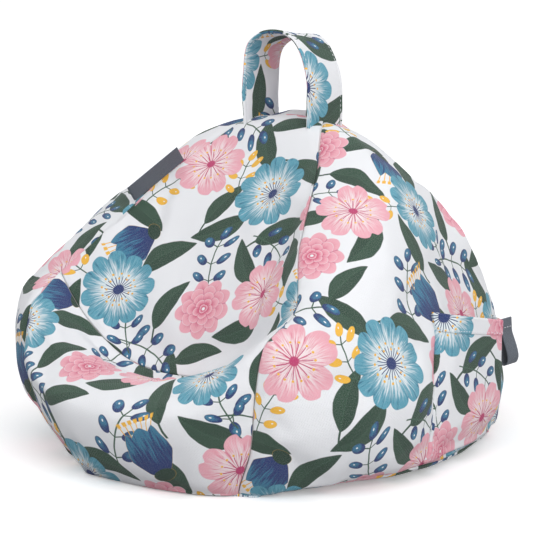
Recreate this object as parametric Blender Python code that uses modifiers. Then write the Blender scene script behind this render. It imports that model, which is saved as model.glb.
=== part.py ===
"""A beanbag stand for a tablet: a filled fabric bag whose front lip and sloping face hold the tablet,
with a strap handle on top, a phone pocket on one side, a ribbon loop for a pen and a zip at the back."""
import math

import bpy
import numpy as np
from mathutils import Matrix, Vector
from mathutils.bvhtree import BVHTree

# Units: metres. The front of the bag faces -Y, its floor is at z = 0.

# size of the filled bag
FACE_HALF_WIDTH = 0.100
BAG_DEPTH = 0.300
BAG_HEIGHT = 0.200
SIDE_BULGE = 0.040

# seam round each side, as shares of half width, depth and height, one row per station:
# up the front, over the lip, up the face, across the top, down the back, forward along the floor
SEAM_SHARES = (
    (0.85, -0.418, 0.016), (0.97, -0.43, 0.16), (1.0, -0.43, 0.32),
    (1.0, -0.407, 0.47), (1.0, -0.357, 0.525), (1.0, -0.30, 0.58), (0.80, -0.207, 0.728),
    (0.60, -0.067, 0.903), (0.34, 0.073, 1.06), (0.29, 0.12, 1.064), (0.31, 0.173, 1.040),
    (0.48, 0.234, 0.936), (0.75, 0.32, 0.772), (0.96, 0.395, 0.53),
    (1.04, 0.42, 0.323), (1.04, 0.418, 0.145), (1.01, 0.402, 0.004),
    (1.21, 0.322, 0.010), (1.355, 0.219, 0.024), (1.44, 0.116, 0.034), (1.49, 0.015, 0.034), (1.495, -0.088, 0.034),
    (1.425, -0.18, 0.030), (1.28, -0.265, 0.026), (1.13, -0.33, 0.022), (1.01, -0.383, 0.018),
)
# middle line of the same stations: depth share, height share, and how square the cross-section is
MIDDLE_SHARES = (
    (-0.49, 0.0, 3.4), (-0.545, 0.13, 2.4), (-0.548, 0.26, 2.4),
    (-0.463, 0.33, 2.4), (-0.387, 0.33, 2.4), (-0.317, 0.305, 2.6), (-0.18, 0.58, 3.0),
    (-0.063, 0.822, 3.0), (0.033, 1.032, 2.4), (0.113, 1.086, 2.2), (0.187, 1.078, 2.2),
    (0.292, 0.98, 2.2), (0.43, 0.798, 2.4), (0.535, 0.549, 3.2),
    (0.57, 0.35, 5.0), (0.547, 0.17, 5.6), (0.497, 0.0, 4.0),
    (0.383, 0.0, 5.0), (0.287, 0.0, 9.0), (0.19, 0.0, 16.0), (0.093, 0.0, 16.0), (-0.003, 0.0, 16.0),
    (-0.10, 0.0, 14.0), (-0.197, 0.0, 12.0), (-0.293, 0.0, 9.0), (-0.40, 0.0, 6.0),
)
# how far a side panel swells outwards, as shares of its greatest swell, from front to back
SWELL_SHARES = (0.0, 0.34, 0.62, 0.84, 0.96, 1.0, 0.96, 0.84, 0.62, 0.34, 0.0)
SWELL_POWER_LOW = 2.2
SWELL_POWER_HIGH = 5.0
# how far the left-hand side is drawn in at the floor, and the height, width and depth over which that fades
SLUMP = 0.035
SLUMP_HEIGHT = 0.115
SLUMP_REACH = 0.060
SLUMP_BACK = 0.125
# everything lower than this lies flat on the floor
FLOOR_FLAT = 0.00125
# stations where one piece of the strip ends and the next begins
FRONT_FOOT, LIP_CREST, CREASE, TOP_FRONT = 0, 3, 5, 9
BACK_SHOULDER, ZIP_STATION, BACK_FOOT = 13, 15, 16
STEPS_PER_STATION = 2
STEPS_ACROSS = 10
EDGE_TURN = math.radians(80)

# layers of the bag, from the outside in
FIT_GAP = 0.0003
SEAM_GAP = 0.0008
COVER_THICK = 0.0012
LINER_THICK = 0.0008

# strap handle over the top
HANDLE_HALF_SPAN = 0.0275
HANDLE_Y = 0.034
STRAP_WIDTH = 0.038
STRAP_THICK = 0.0024
HANDLE_RISE = 0.008
HANDLE_ARC_STEPS = 14
HANDLE_FOOT_STEPS = 6
HANDLE_FOOT_TURN = math.radians(76)
STRAP_END_WIDTH = 0.022
STRAP_END_THICK = 0.0014
STRAP_END_TALL = 0.025
STRAP_END_STEPS = 14

# phone pocket on the right-hand side
POCKET_FRONT_FOOT_Y = -0.022
POCKET_FRONT_TOP_Y = 0.003
POCKET_BOTTOM_Z = 0.015
POCKET_HEM_FRONT_Z = 0.101
POCKET_HEM_BACK_Z = 0.076
POCKET_SEAM_INSET = 0.004
SLOT_PROUD = 0.0035
SLOT_DEEP = 0.0095
SLOT_FRONT_Y = 0.004
SLOT_BACK_Y = 0.070
SLOT_LOW_Z = 0.026
SLOT_HIGH_Z = 0.109
SLOT_BLEND = 0.028
POCKET_THICK = 0.0012
POCKET_EDGE_GAP = 0.0006
POCKET_FLARE = 0.014
POCKET_TUCK = 0.012
POCKET_COLUMNS = 18
POCKET_ROWS = 8
HEM_ROWS = 1
HEM_THICK = 0.0010

# woven label standing in the left-hand seam of the face
LABEL_LONG = 0.044
LABEL_TALL = 0.0115
LABEL_THICK = 0.0010
LABEL_STATION = 6.78

# ribbon loop at the pocket's back corner
RIBBON_WIDTH = 0.015
RIBBON_CLEAR = 0.0009
RIBBON_THICK = 0.0010
RIBBON_TAB_TALL = 0.009
RIBBON_TAB_THICK = 0.0016
RIBBON_TOP_Z = 0.074
RIBBON_DROP = 0.026
RIBBON_BULGE = 0.009
RIBBON_EYE_DROP = 0.003
RIBBON_FRONT_SHARES = ((0.9, 0.6), (0.5, 0.25))
ROUND_STEPS = 6

# zip low on the back
ZIP_HALF_LENGTH = 0.060
TAPE_TALL = 0.009
TAPE_THICK = 0.0006
TAPE_SPLIT = 0.0030
TOOTH_PITCH = 0.0030
TOOTH_WIDE = 0.0012
TOOTH_LONG = 0.0016
TOOTH_THICK = 0.0010
TOOTH_SPINE = 0.0010
STOP_LONG = 0.0022
SLIDER_LONG = 0.0090
SLIDER_TALL = 0.0084
SLIDER_PLATE = 0.0010
SLIDER_FLANGE = 0.0009
BRIDGE_LONG = 0.0060
BRIDGE_WIDE = 0.0016
BRIDGE_TALL = 0.0028
BRIDGE_BAR = 0.0008
PULL_WIDE = 0.0052
PULL_LONG = 0.0170
PULL_THICK = 0.0010
PULL_ARM_WIDE = 0.0012
PULL_EYE = 0.0042
PULL_TAPER_SHARE = 0.8

# sampling of the bag's surface where other pieces rest on it
PROBE_FAR = 0.5
PROBE_STEPS = 31
PROBE_SPREAD = 0.0035
SEAT_GAP = 0.0006

# colours
COTTON = (0.86, 0.87, 0.89)
SLATE = (0.045, 0.055, 0.065)
LINING = (0.80, 0.80, 0.78)
BEADS = (0.90, 0.90, 0.90)
ZIP_TAPE = (0.78, 0.79, 0.80)
ZIP_METAL = (0.55, 0.56, 0.58)


def clear_objects():
    """Removes the objects that a new file starts with."""
    for obj in list(bpy.data.objects):
        bpy.data.objects.remove(obj, do_unlink=True)


def material(name, colour, rough, metal=0.0):
    """A plain finish."""
    mat = bpy.data.materials.new(name)
    mat.use_nodes = True
    shader = mat.node_tree.nodes["Principled BSDF"]
    shader.inputs["Base Color"].default_value = (*colour, 1)
    shader.inputs["Roughness"].default_value = rough
    shader.inputs["Metallic"].default_value = metal
    return mat


def add_piece(group, name, points, faces, mat, origin=(0, 0, 0), turn=(0, 0, 0)):
    """One piece: points are given about its own origin, which is then placed and turned."""
    mesh = bpy.data.meshes.new(name)
    mesh.from_pydata([tuple(map(float, p)) for p in points], [], [tuple(map(int, f)) for f in faces])
    mesh.update()
    mesh.shade_smooth()
    mesh.materials.append(mat)
    obj = bpy.data.objects.new(name, mesh)
    obj.location = origin
    obj.rotation_euler = turn
    group.objects.link(obj)
    return obj


# the bag as one closed surface


def smooth_loop(rows, steps):
    """A smooth closed curve through the rows, with steps points from each row to the next."""
    rows = np.asarray(rows, float)
    out = []
    for i in range(len(rows)):
        p0, p1, p2, p3 = rows[i - 1], rows[i], rows[(i + 1) % len(rows)], rows[(i + 2) % len(rows)]
        for k in range(steps):
            t = k / steps
            bend = (2 * p0 - 5 * p1 + 4 * p2 - p3) * t**2 + (3 * p1 - p0 - 3 * p2 + p3) * t**3
            out.append((2 * p1 + (p2 - p0) * t + bend) / 2)
    return np.array(out)


def seam_line(steps):
    """The right-hand seam in metres, never below the floor."""
    seam = smooth_loop(SEAM_SHARES, steps) * (FACE_HALF_WIDTH, BAG_DEPTH, BAG_HEIGHT)
    seam[:, 2] = np.maximum(seam[:, 2], 0)
    return seam


def strip_grid(steps, across):
    """The band of fabric between the two seams: rows along it, columns that stand closer towards the seams."""
    seam = seam_line(steps)
    middle = smooth_loop(MIDDLE_SHARES, steps)
    u = np.sin(np.linspace(-EDGE_TURN, EDGE_TURN, across + 1))[None, :] / math.sin(EDGE_TURN)
    share = np.abs(u) ** middle[:, 2:3]
    x = u * seam[:, 0:1]
    y = middle[:, 0:1] * BAG_DEPTH
    z = np.maximum(middle[:, 1:2], 0) * BAG_HEIGHT
    y = y + (seam[:, 1:2] - y) * share
    z = z + (seam[:, 2:3] - z) * share
    return np.stack([x, y, z], -1)


def side_edges(count):
    """Seam stations on the four edges of a side: floor, top, front and back, each as indices along the seam."""
    s = STEPS_PER_STATION
    floor = [0] + list(range(count - 1, BACK_FOOT * s - 1, -1))
    top = list(range(LIP_CREST * s, BACK_SHOULDER * s + 1))
    front = list(range(0, LIP_CREST * s + 1))
    back = list(range(BACK_FOOT * s, BACK_SHOULDER * s - 1, -1))
    return floor, top, front, back


def side_grid(seam):
    """A side panel filled in between its four edges and swollen outwards."""
    floor, top, front, back = (seam[i] for i in side_edges(len(seam)))
    a = np.linspace(0, 1, len(top))[None, :, None]
    b = np.linspace(0, 1, len(front))[:, None, None]
    p = (1 - b) * floor[None] + b * top[None] + (1 - a) * front[:, None] + a * back[:, None]
    p = p - (1 - a) * (1 - b) * floor[0] - a * (1 - b) * floor[-1] - (1 - a) * b * top[0] - a * b * top[-1]
    along = np.interp(a, np.linspace(0, 1, len(SWELL_SHARES)), SWELL_SHARES)
    power = np.where(b < 0.5, SWELL_POWER_LOW, SWELL_POWER_HIGH)
    swell = along * (1 - np.abs(2 * b - 1) ** power)
    return p + swell * np.array([SIDE_BULGE, 0, 0])


def slumped(points):
    """The left-hand side drawn in towards the floor."""
    low = np.clip(1 - points[:, 2] / SLUMP_HEIGHT, 0, 1)
    left = np.clip(-points[:, 0] / SLUMP_REACH, 0, 1) ** 2
    left = left * np.clip(1 - points[:, 1] / SLUMP_BACK, 0, 1)
    return points + np.stack([SLUMP * low**2 * left, 0 * low, 0 * low], -1)


def slot_x():
    """How far out the flat back of the phone's slot stands."""
    return FACE_HALF_WIDTH + SIDE_BULGE + SLOT_PROUD


def slot_share(y, z):
    """How fully a phone in the pocket presses on the side panel, from 0 to 1."""
    across = np.clip((y - SLOT_FRONT_Y) / SLOT_BLEND + 1, 0, 1) * np.clip((SLOT_BACK_Y - y) / SLOT_BLEND + 1, 0, 1)
    up = np.clip((z - SLOT_LOW_Z) / SLOT_BLEND + 1, 0, 1) * np.clip((SLOT_HIGH_Z - z) / SLOT_BLEND + 1, 0, 1)
    share = across * up
    return share * share * (3 - 2 * share)


def pressed(points):
    """The points of the side panel pressed in to the flat back of the phone's slot."""
    out = points.copy()
    over = np.maximum(points[..., 0] - slot_x(), 0)
    out[..., 0] -= over * slot_share(points[..., 1], points[..., 2])
    return out


def bag_surface():
    """Points of the closed bag, and grids of point numbers for the strip and the two sides."""
    strip = strip_grid(STEPS_PER_STATION, STEPS_ACROSS)
    count, wide = strip.shape[:2]
    points = [strip.reshape(-1, 3)]
    strip_ids = np.arange(count * wide).reshape(count, wide)
    total = count * wide
    side_ids = {}
    for sign, column in ((1, wide - 1), (-1, 0)):
        grid = side_grid(seam_line(STEPS_PER_STATION))
        grid[..., 0] *= sign
        ids = np.zeros(grid.shape[:2], int)
        inner = grid[1:-1, 1:-1]
        ids[1:-1, 1:-1] = total + np.arange(inner.shape[0] * inner.shape[1]).reshape(inner.shape[:2])
        total += inner.shape[0] * inner.shape[1]
        points.append(inner.reshape(-1, 3))
        floor, top, front, back = side_edges(count)
        ids[0, :] = strip_ids[floor, column]
        ids[-1, :] = strip_ids[top, column]
        ids[:, 0] = strip_ids[front, column]
        ids[:, -1] = strip_ids[back, column]
        side_ids[sign] = ids if sign > 0 else ids[:, ::-1]
    points = slumped(np.concatenate(points))
    points[points[:, 2] < FLOOR_FLAT, 2] = 0
    inner = side_ids[1][1:-1, 1:-1]
    points[inner] = pressed(points[inner])
    return points, strip_ids, side_ids


def grid_triangles(ids, mirrored=None):
    """Two triangles for each cell of a grid of point numbers, facing outwards. Mirrored cells are cut the other way."""
    a, b, c, d = ids[:-1, :-1], ids[:-1, 1:], ids[1:, 1:], ids[1:, :-1]
    plain = np.stack([a, b, c, a, c, d], -1)
    other = np.stack([a, b, d, b, c, d], -1)
    cut = plain if mirrored is None else np.where(mirrored[..., None], other, plain)
    return cut.reshape(-1, 3)


def left_half(ids):
    """True for the cells of a strip's grid that lie left of its middle."""
    rows, columns = ids.shape[0] - 1, ids.shape[1] - 1
    return np.broadcast_to(np.arange(columns)[None, :] < columns // 2, (rows, columns))


def all_cells(ids):
    """True for every cell of a grid."""
    return np.ones((ids.shape[0] - 1, ids.shape[1] - 1), bool)


def point_normals(points, triangles):
    """Outward direction at each point, weighted by the angle of each triangle there."""
    normals = np.zeros_like(points)
    for k in range(3):
        p, q, r = (points[triangles[:, (k + j) % 3]] for j in range(3))
        face = np.cross(q - p, r - p)
        face /= np.maximum(np.linalg.norm(face, axis=1, keepdims=True), 1e-12)
        u = (q - p) / np.maximum(np.linalg.norm(q - p, axis=1, keepdims=True), 1e-12)
        v = (r - p) / np.maximum(np.linalg.norm(r - p, axis=1, keepdims=True), 1e-12)
        angle = np.arccos(np.clip((u * v).sum(1), -1, 1))
        np.add.at(normals, triangles[:, k], face * angle[:, None])
    return normals / np.maximum(np.linalg.norm(normals, axis=1, keepdims=True), 1e-12)


def flip(triangles):
    return triangles[:, ::-1]


def shell(outer, inner, mirrored=None):
    """A closed sheet between two grids of points of the same shape."""
    rows, columns = outer.shape[:2]
    top = np.arange(rows * columns).reshape(rows, columns)
    low = top + rows * columns
    faces = [grid_triangles(top, mirrored), flip(grid_triangles(low, mirrored))]
    rim = np.concatenate([top[0, :], top[1:, -1], top[-1, -2::-1], top[-2:0:-1, 0]])
    nxt = np.roll(rim, -1)
    step = rows * columns
    faces.append(np.stack([nxt, rim, rim + step], -1))
    faces.append(np.stack([nxt, rim + step, nxt + step], -1))
    return np.concatenate([outer.reshape(-1, 3), inner.reshape(-1, 3)]), np.concatenate(faces)


def drawn_in(grid, amount):
    """The grid with its outer row and column moved inwards along the fabric."""
    out = grid.copy()
    rows, columns = grid.shape[:2]
    for i in range(rows):
        for j in range(columns):
            if 0 < i < rows - 1 and 0 < j < columns - 1:
                continue
            towards = grid[min(max(i, 1), rows - 2), min(max(j, 1), columns - 2)] - grid[i, j]
            out[i, j] += towards / np.linalg.norm(towards) * amount
    return out


def cover_panel(group, name, bag, ids, mirrored, mat):
    """One panel of the cover."""
    points, normals = bag
    outer = drawn_in(points[ids], SEAM_GAP / 2)
    inner = drawn_in(points[ids] - normals[ids] * COVER_THICK, SEAM_GAP / 2)
    return add_piece(group, name, *shell(outer, inner, mirrored), mat)


def station_rows(strip_ids, first, last):
    """Rows of the strip from one station to another."""
    s = STEPS_PER_STATION
    rows = np.arange(first * s, last * s + 1) % len(strip_ids)
    return strip_ids[rows]


def add_cover(group, bag, strip_ids, side_ids):
    """The outer cover: lip, face, back, base and two sides."""
    cotton = material("printed_cotton", COTTON, 0.85)
    stations = len(SEAM_SHARES)
    for name, first, last in (
        ("front_lip_panel", FRONT_FOOT, CREASE),
        ("rest_face_panel", CREASE, TOP_FRONT),
        ("back_panel", TOP_FRONT, ZIP_STATION),
        ("base_panel", ZIP_STATION, stations),
    ):
        rows = station_rows(strip_ids, first, last)
        cover_panel(group, name, bag, rows, left_half(rows), cotton)
    cover_panel(group, "right_side_panel", bag, side_ids[1], None, cotton)
    cover_panel(group, "left_side_panel", bag, side_ids[-1], all_cells(side_ids[-1]), cotton)


def mouth_cells(strip_ids):
    """Point numbers of the part of the strip behind the zip, where the inner bag is filled."""
    s = STEPS_PER_STATION
    middle = strip_ids.shape[1] // 2
    reach = strip_ids.shape[1] // 4
    return strip_ids[(ZIP_STATION - 1) * s:ZIP_STATION * s + 1, middle - reach:middle + reach + 1]


def add_liner(group, bag, triangles, strip_ids):
    """The inner bag: a closed skin with a filling mouth behind the zip."""
    points, normals = bag
    outer = points - normals * (COVER_THICK + FIT_GAP)
    inner = points - normals * (COVER_THICK + FIT_GAP + LINER_THICK)
    mouth = mouth_cells(strip_ids)
    cut = {tuple(sorted(t)) for t in grid_triangles(mouth, left_half(mouth)).tolist()}
    keep = np.array([t for t in triangles.tolist() if tuple(sorted(t)) not in cut])
    step = len(points)
    rim = np.concatenate([mouth[0, :], mouth[1:, -1], mouth[-1, -2::-1], mouth[-2:0:-1, 0]])
    nxt = np.roll(rim, -1)
    faces = [keep, flip(keep) + step]
    faces.append(np.stack([rim, nxt, nxt + step], -1))
    faces.append(np.stack([rim, nxt + step, rim + step], -1))
    faces = np.concatenate(faces)
    both = np.concatenate([outer, inner])
    used = np.unique(faces)
    number = np.zeros(len(both), int)
    number[used] = np.arange(len(used))
    add_piece(group, "inner_bag", both[used], number[faces], material("lining", LINING, 0.9))


def add_beads(group, bag, triangles):
    """The bead filling as one body."""
    points, normals = bag
    inside = COVER_THICK + LINER_THICK + 4 * FIT_GAP
    add_piece(group, "bead_filling", points - normals * inside, triangles, material("beads", BEADS, 0.8))


# resting other pieces on the bag


class Surface:
    """Finds how far the bag and the pieces added so far reach in a direction."""

    def __init__(self):
        self.trees = []

    def add(self, points, faces):
        self.trees.append(BVHTree.FromPolygons([Vector(p) for p in points], [tuple(f) for f in faces]))

    def reach(self, point, direction):
        """Distance from point along direction to the outermost surface, or None where there is none."""
        d = Vector(direction).normalized()
        start = Vector(point) + d * PROBE_FAR
        best = None
        for tree in self.trees:
            hit = tree.ray_cast(start, -d)[0]
            if hit is not None:
                far = (hit - Vector(point)).dot(d)
                best = far if best is None else max(best, far)
        return best

    def near(self, point, direction, edge_a, edge_b):
        """The greatest reach at a point and just beside it along two edges."""
        sides = [Vector(), Vector(edge_a), -Vector(edge_a), Vector(edge_b), -Vector(edge_b)]
        found = [self.reach(Vector(point) + side, direction) for side in sides]
        return max(far for far in found if far is not None)

    def highest(self, corner, edge_a, edge_b, direction):
        """The greatest reach over the rectangle from corner along two edges."""
        found = []
        for i in range(PROBE_STEPS):
            for j in range(PROBE_STEPS):
                at = Vector(corner) + Vector(edge_a) * i / (PROBE_STEPS - 1) + Vector(edge_b) * j / (PROBE_STEPS - 1)
                far = self.reach(at, direction)
                if far is not None:
                    found.append(far)
        return max(found)


def grid_normals(grid):
    """Outward direction at each point of a grid."""
    ids = np.arange(grid.shape[0] * grid.shape[1]).reshape(grid.shape[:2])
    return point_normals(grid.reshape(-1, 3), grid_triangles(ids)).reshape(grid.shape)


def add_sheet(group, name, grid, thick, side, mat, origin=(0, 0, 0)):
    """An open surface through a grid of points, made solid on its outer side (1), inner side (-1) or both (0)."""
    rows, columns = grid.shape[:2]
    ids = np.arange(rows * columns).reshape(rows, columns)
    cells = np.stack([ids[:-1, :-1], ids[:-1, 1:], ids[1:, 1:], ids[1:, :-1]], -1).reshape(-1, 4)
    obj = add_piece(group, name, grid.reshape(-1, 3), cells, mat, origin)
    solid = obj.modifiers.new("thickness", "SOLIDIFY")
    solid.thickness = thick
    solid.offset = side
    return obj


def add_box(group, name, low, high, mat, parent=None):
    """A plain box between two corners."""
    bpy.ops.mesh.primitive_cube_add(size=1)
    obj = bpy.context.object
    size = [h - l for l, h in zip(low, high)]
    obj.data.transform(Matrix.Diagonal((*size, 1)))
    obj.location = [(l + h) / 2 for l, h in zip(low, high)]
    return adopt(group, obj, name, mat, parent)


def add_outline(group, name, outlines, thick, mat, place=(0, 0, 0), turn=(0, 0, 0), parent=None):
    """A flat shape given by its outline, and by those of its holes, with an even thickness."""
    curve = bpy.data.curves.new(name, "CURVE")
    curve.dimensions = "2D"
    curve.fill_mode = "BOTH"
    curve.extrude = thick / 2
    for outline in outlines:
        spline = curve.splines.new("POLY")
        spline.points.add(len(outline) - 1)
        for point, (x, y) in zip(spline.points, outline):
            point.co = (x, y, 0, 1)
        spline.use_cyclic_u = True
    obj = bpy.data.objects.new(name, curve)
    obj.location = place
    obj.rotation_euler = turn
    return adopt(group, obj, name, mat, parent)


def adopt(group, obj, name, mat, parent):
    """Names a new object and puts it in the part's collection."""
    for old in list(obj.users_collection):
        old.objects.unlink(obj)
    group.objects.link(obj)
    obj.name = name
    obj.data.name = name
    obj.data.materials.append(mat)
    obj.parent = parent
    return obj


# strap handle


def handle_path():
    """Middle line of the strap in the XZ plane, from one rounded foot over the top to the other, about the hinge."""
    half_width = STRAP_WIDTH / 2
    legs, leg_halves = [], []
    for k in range(HANDLE_FOOT_STEPS, 0, -1):
        turn = HANDLE_FOOT_TURN * k / HANDLE_FOOT_STEPS
        legs.append((-HANDLE_HALF_SPAN, -half_width * math.sin(turn)))
        leg_halves.append(half_width * math.cos(turn))
    legs.append((-HANDLE_HALF_SPAN, 0))
    leg_halves.append(half_width)
    arc = []
    for k in range(HANDLE_ARC_STEPS + 1):
        turn = math.pi * k / HANDLE_ARC_STEPS
        arc.append((-HANDLE_HALF_SPAN * math.cos(turn), HANDLE_RISE + HANDLE_HALF_SPAN * math.sin(turn)))
    right = [(-x, z) for x, z in reversed(legs)]
    return legs + arc + right, leg_halves + [half_width] * len(arc) + leg_halves[::-1]


def add_handle(group, surface):
    """The strap: a loop that swings over the top, and its two ends standing in the side seams."""
    strap = material("strap_cotton", COTTON, 0.85)
    half = STRAP_WIDTH / 2
    reaches = []
    for side in (1, -1):
        corner = (side * (HANDLE_HALF_SPAN - STRAP_THICK), HANDLE_Y - half, 0)
        reaches.append(surface.highest(corner, (side * 2 * STRAP_THICK, 0, 0), (0, STRAP_WIDTH, 0), (0, 0, 1)))
    hinge_z = max(reaches) + half + FIT_GAP
    path, halves = handle_path()
    rows = [[(x, -h, z), (x, 0, z), (x, h, z)] for (x, z), h in zip(path, halves)]
    add_sheet(group, "handle_strap", np.array(rows), STRAP_THICK, 0, strap, (0, HANDLE_Y, hinge_z))
    for name, side in (("strap_end_right", 1), ("strap_end_left", -1)):
        add_strap_end(group, surface, name, side, strap)


def add_strap_end(group, surface, name, side, mat):
    """A short length of strap standing in the seam just inside the handle's foot, with a rounded top."""
    middle = side * (HANDLE_HALF_SPAN - STRAP_THICK / 2 - FIT_GAP - STRAP_END_THICK / 2)
    half = STRAP_END_WIDTH / 2
    columns = np.linspace(-half, half, STRAP_END_STEPS + 1)
    spread = (STRAP_END_THICK / 2, 0, 0), (0, STRAP_END_WIDTH / STRAP_END_STEPS, 0)
    low = [surface.near((middle, HANDLE_Y + y, 0), (0, 0, 1), *spread) + SEAT_GAP for y in columns]
    top = [max(low) + STRAP_END_TALL - half / 2 * (1 - math.cos(math.pi / 2 * y / half)) for y in columns]
    rows = [[(middle, HANDLE_Y + y, l + (t - l) * share) for y, l, t in zip(columns, low, top)]
            for share in (0.0, 0.5, 1.0)]
    add_sheet(group, name, np.array(rows), STRAP_END_THICK, 0, mat)


# phone pocket


def seam_y(z):
    """Depth of the right-hand back seam at a height."""
    s = STEPS_PER_STATION
    rows = seam_line(s)[BACK_SHOULDER * s:BACK_FOOT * s + 1]
    rows = rows[np.argsort(rows[:, 2])]
    return float(np.interp(z, rows[:, 2], rows[:, 1]))


def pocket_grid(surface):
    """The pocket's inner face as a grid, from its front edge to the back seam and from its foot to its hem."""
    grid = np.zeros((POCKET_ROWS + 1, POCKET_COLUMNS + 1, 3))
    sides = (0, PROBE_SPREAD, 0), (0, 0, PROBE_SPREAD)
    slot_face = slot_x() + SLOT_DEEP
    for i in range(POCKET_ROWS + 1):
        up = i / POCKET_ROWS
        end_z = POCKET_BOTTOM_Z + (POCKET_HEM_BACK_Z - POCKET_BOTTOM_Z) * up
        end_y = seam_y(end_z) - POCKET_SEAM_INSET
        end_x = surface.near((0, end_y, end_z), (1, 0, 0), *sides) + POCKET_EDGE_GAP
        front = POCKET_FRONT_FOOT_Y + (POCKET_FRONT_TOP_Y - POCKET_FRONT_FOOT_Y) * up
        for j in range(POCKET_COLUMNS + 1):
            along = j / POCKET_COLUMNS
            hem = POCKET_HEM_FRONT_Z + (POCKET_HEM_BACK_Z - POCKET_HEM_FRONT_Z) * along
            z = POCKET_BOTTOM_Z + (hem - POCKET_BOTTOM_Z) * up
            y = front + (end_y - front) * along
            x = surface.near((0, y, z), (1, 0, 0), *sides) + POCKET_EDGE_GAP
            back = min(max((y - SLOT_BACK_Y) / (end_y - SLOT_BACK_Y), 0), 1)
            face = slot_face + (end_x - slot_face) * back
            deep = min(max((y - SLOT_FRONT_Y) / (SLOT_BACK_Y - SLOT_FRONT_Y), 0), 1)
            rise = (z - POCKET_BOTTOM_Z) / (POCKET_FLARE + POCKET_TUCK * deep)
            full = min(1, (y - front) / POCKET_FLARE) * min(1, rise)
            grid[i, j] = (x + max(face - x, 0) * math.sin(full * math.pi / 2), y, z)
    return grid


def add_pocket(group, surface):
    """The phone pocket and its turned hem. The phone stands between it and the side panel."""
    cotton = material("pocket_cotton", COTTON, 0.85)
    inner = pocket_grid(surface)
    add_sheet(group, "phone_pocket", inner, POCKET_THICK, 1, cotton)
    rows = HEM_ROWS + 1
    outer = (inner + grid_normals(inner) * (POCKET_THICK + FIT_GAP))[-rows:]
    add_sheet(group, "pocket_hem", outer, HEM_THICK, 1, cotton)
    for grid, thick in ((inner, POCKET_THICK), (outer, HEM_THICK)):
        ids = np.arange(grid.shape[0] * grid.shape[1]).reshape(grid.shape[:2])
        surface.add((grid + grid_normals(grid) * thick).reshape(-1, 3), grid_triangles(ids))


# label and ribbon


def add_label(group, surface, bag, strip_ids):
    """A plain woven label sewn along one long edge into the left-hand seam of the face."""
    points, normals = bag
    seam, out = points[strip_ids[:, 0]], normals[strip_ids[:, 0]]
    at = LABEL_STATION * STEPS_PER_STATION
    i = int(at)
    middle = seam[i] + (seam[i + 1] - seam[i]) * (at - i)
    along = Vector(seam[i + 2] - seam[i - 1]).normalized()
    up = Vector(out[i] + out[i + 1])
    up = (up - along * up.dot(along)).normalized()
    across = up.cross(along)
    near = Vector(middle) - along * LABEL_LONG / 2
    lift = surface.highest(near - across * LABEL_THICK, along * LABEL_LONG, across * 2 * LABEL_THICK, up)
    r = LABEL_THICK / 2
    origin = Vector(middle) + up * (lift + FIT_GAP + r)
    foot = [(r * math.cos(t), r * math.sin(t)) for t in np.linspace(-math.pi, 0, ROUND_STEPS + 1)]
    outline = foot + [(r, LABEL_TALL), (-r, LABEL_TALL)]
    turn = Matrix((across, up, along)).transposed().to_euler()
    weave = material("label_weave", SLATE, 0.8)
    add_outline(group, "woven_label", [outline], LABEL_LONG, weave, origin, turn)


def ribbon_outline(radius):
    """Outline of the hanging loop about the line it hangs from: a rounded top, a flat back and a full front."""
    cap = [(radius * math.cos(a), radius * math.sin(a)) for a in np.linspace(0, math.pi, ROUND_STEPS + 1)]
    turn_radius = RIBBON_BULGE / 2
    centre = (-radius + turn_radius, -RIBBON_DROP + radius + turn_radius)
    back = [(-radius, centre[1] * share) for share in (0.35, 0.7)]
    low = [(centre[0] - turn_radius * math.cos(a), centre[1] - turn_radius * math.sin(a))
           for a in np.linspace(0, math.pi, 2 * ROUND_STEPS + 1)]
    front_x = -radius + RIBBON_BULGE
    front = [(radius + (front_x - radius) * share, centre[1] * fall) for share, fall in RIBBON_FRONT_SHARES]
    return cap + back + low + front


def drawn_inside(outline, amount):
    """The outline moved inwards all round. It runs anticlockwise."""
    p = np.array(outline)
    out = []
    for i in range(len(p)):
        before, after = p[i] - p[i - 1], p[(i + 1) % len(p)] - p[i]
        n1 = np.array((-before[1], before[0])) / np.linalg.norm(before)
        n2 = np.array((-after[1], after[0])) / np.linalg.norm(after)
        n = (n1 + n2) / np.linalg.norm(n1 + n2)
        out.append(tuple(p[i] + n * amount / max(0.5, float(n.dot(n1)))))
    return out


def add_ribbon(group, surface):
    """A doubled ribbon: a tab sewn at the pocket's back corner, and a loop that hangs from it."""
    ribbon = material("ribbon", SLATE, 0.7)
    y0 = seam_y(RIBBON_TOP_Z) - RIBBON_WIDTH / 2
    low_z = RIBBON_TOP_Z - RIBBON_TAB_TALL - RIBBON_DROP
    x0 = surface.highest((0, y0, low_z), (0, RIBBON_WIDTH, 0), (0, 0, RIBBON_TOP_Z - low_z), (1, 0, 0)) + RIBBON_CLEAR
    tab_low = RIBBON_TOP_Z - RIBBON_TAB_TALL
    tab_far = (x0 + RIBBON_TAB_THICK, y0 + RIBBON_WIDTH, RIBBON_TOP_Z)
    add_box(group, "ribbon_tab", (x0, y0, tab_low), tab_far, ribbon)
    radius = RIBBON_TAB_THICK / 2
    outer = ribbon_outline(radius)
    inner = [q for q in drawn_inside(outer, RIBBON_THICK) if q[1] < -RIBBON_EYE_DROP]
    origin = (x0 + radius, y0 + RIBBON_WIDTH / 2, tab_low - FIT_GAP - radius)
    add_outline(group, "ribbon_loop", [outer, inner], RIBBON_WIDTH, ribbon, origin, (math.pi / 2, 0, 0))


# zip


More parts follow.
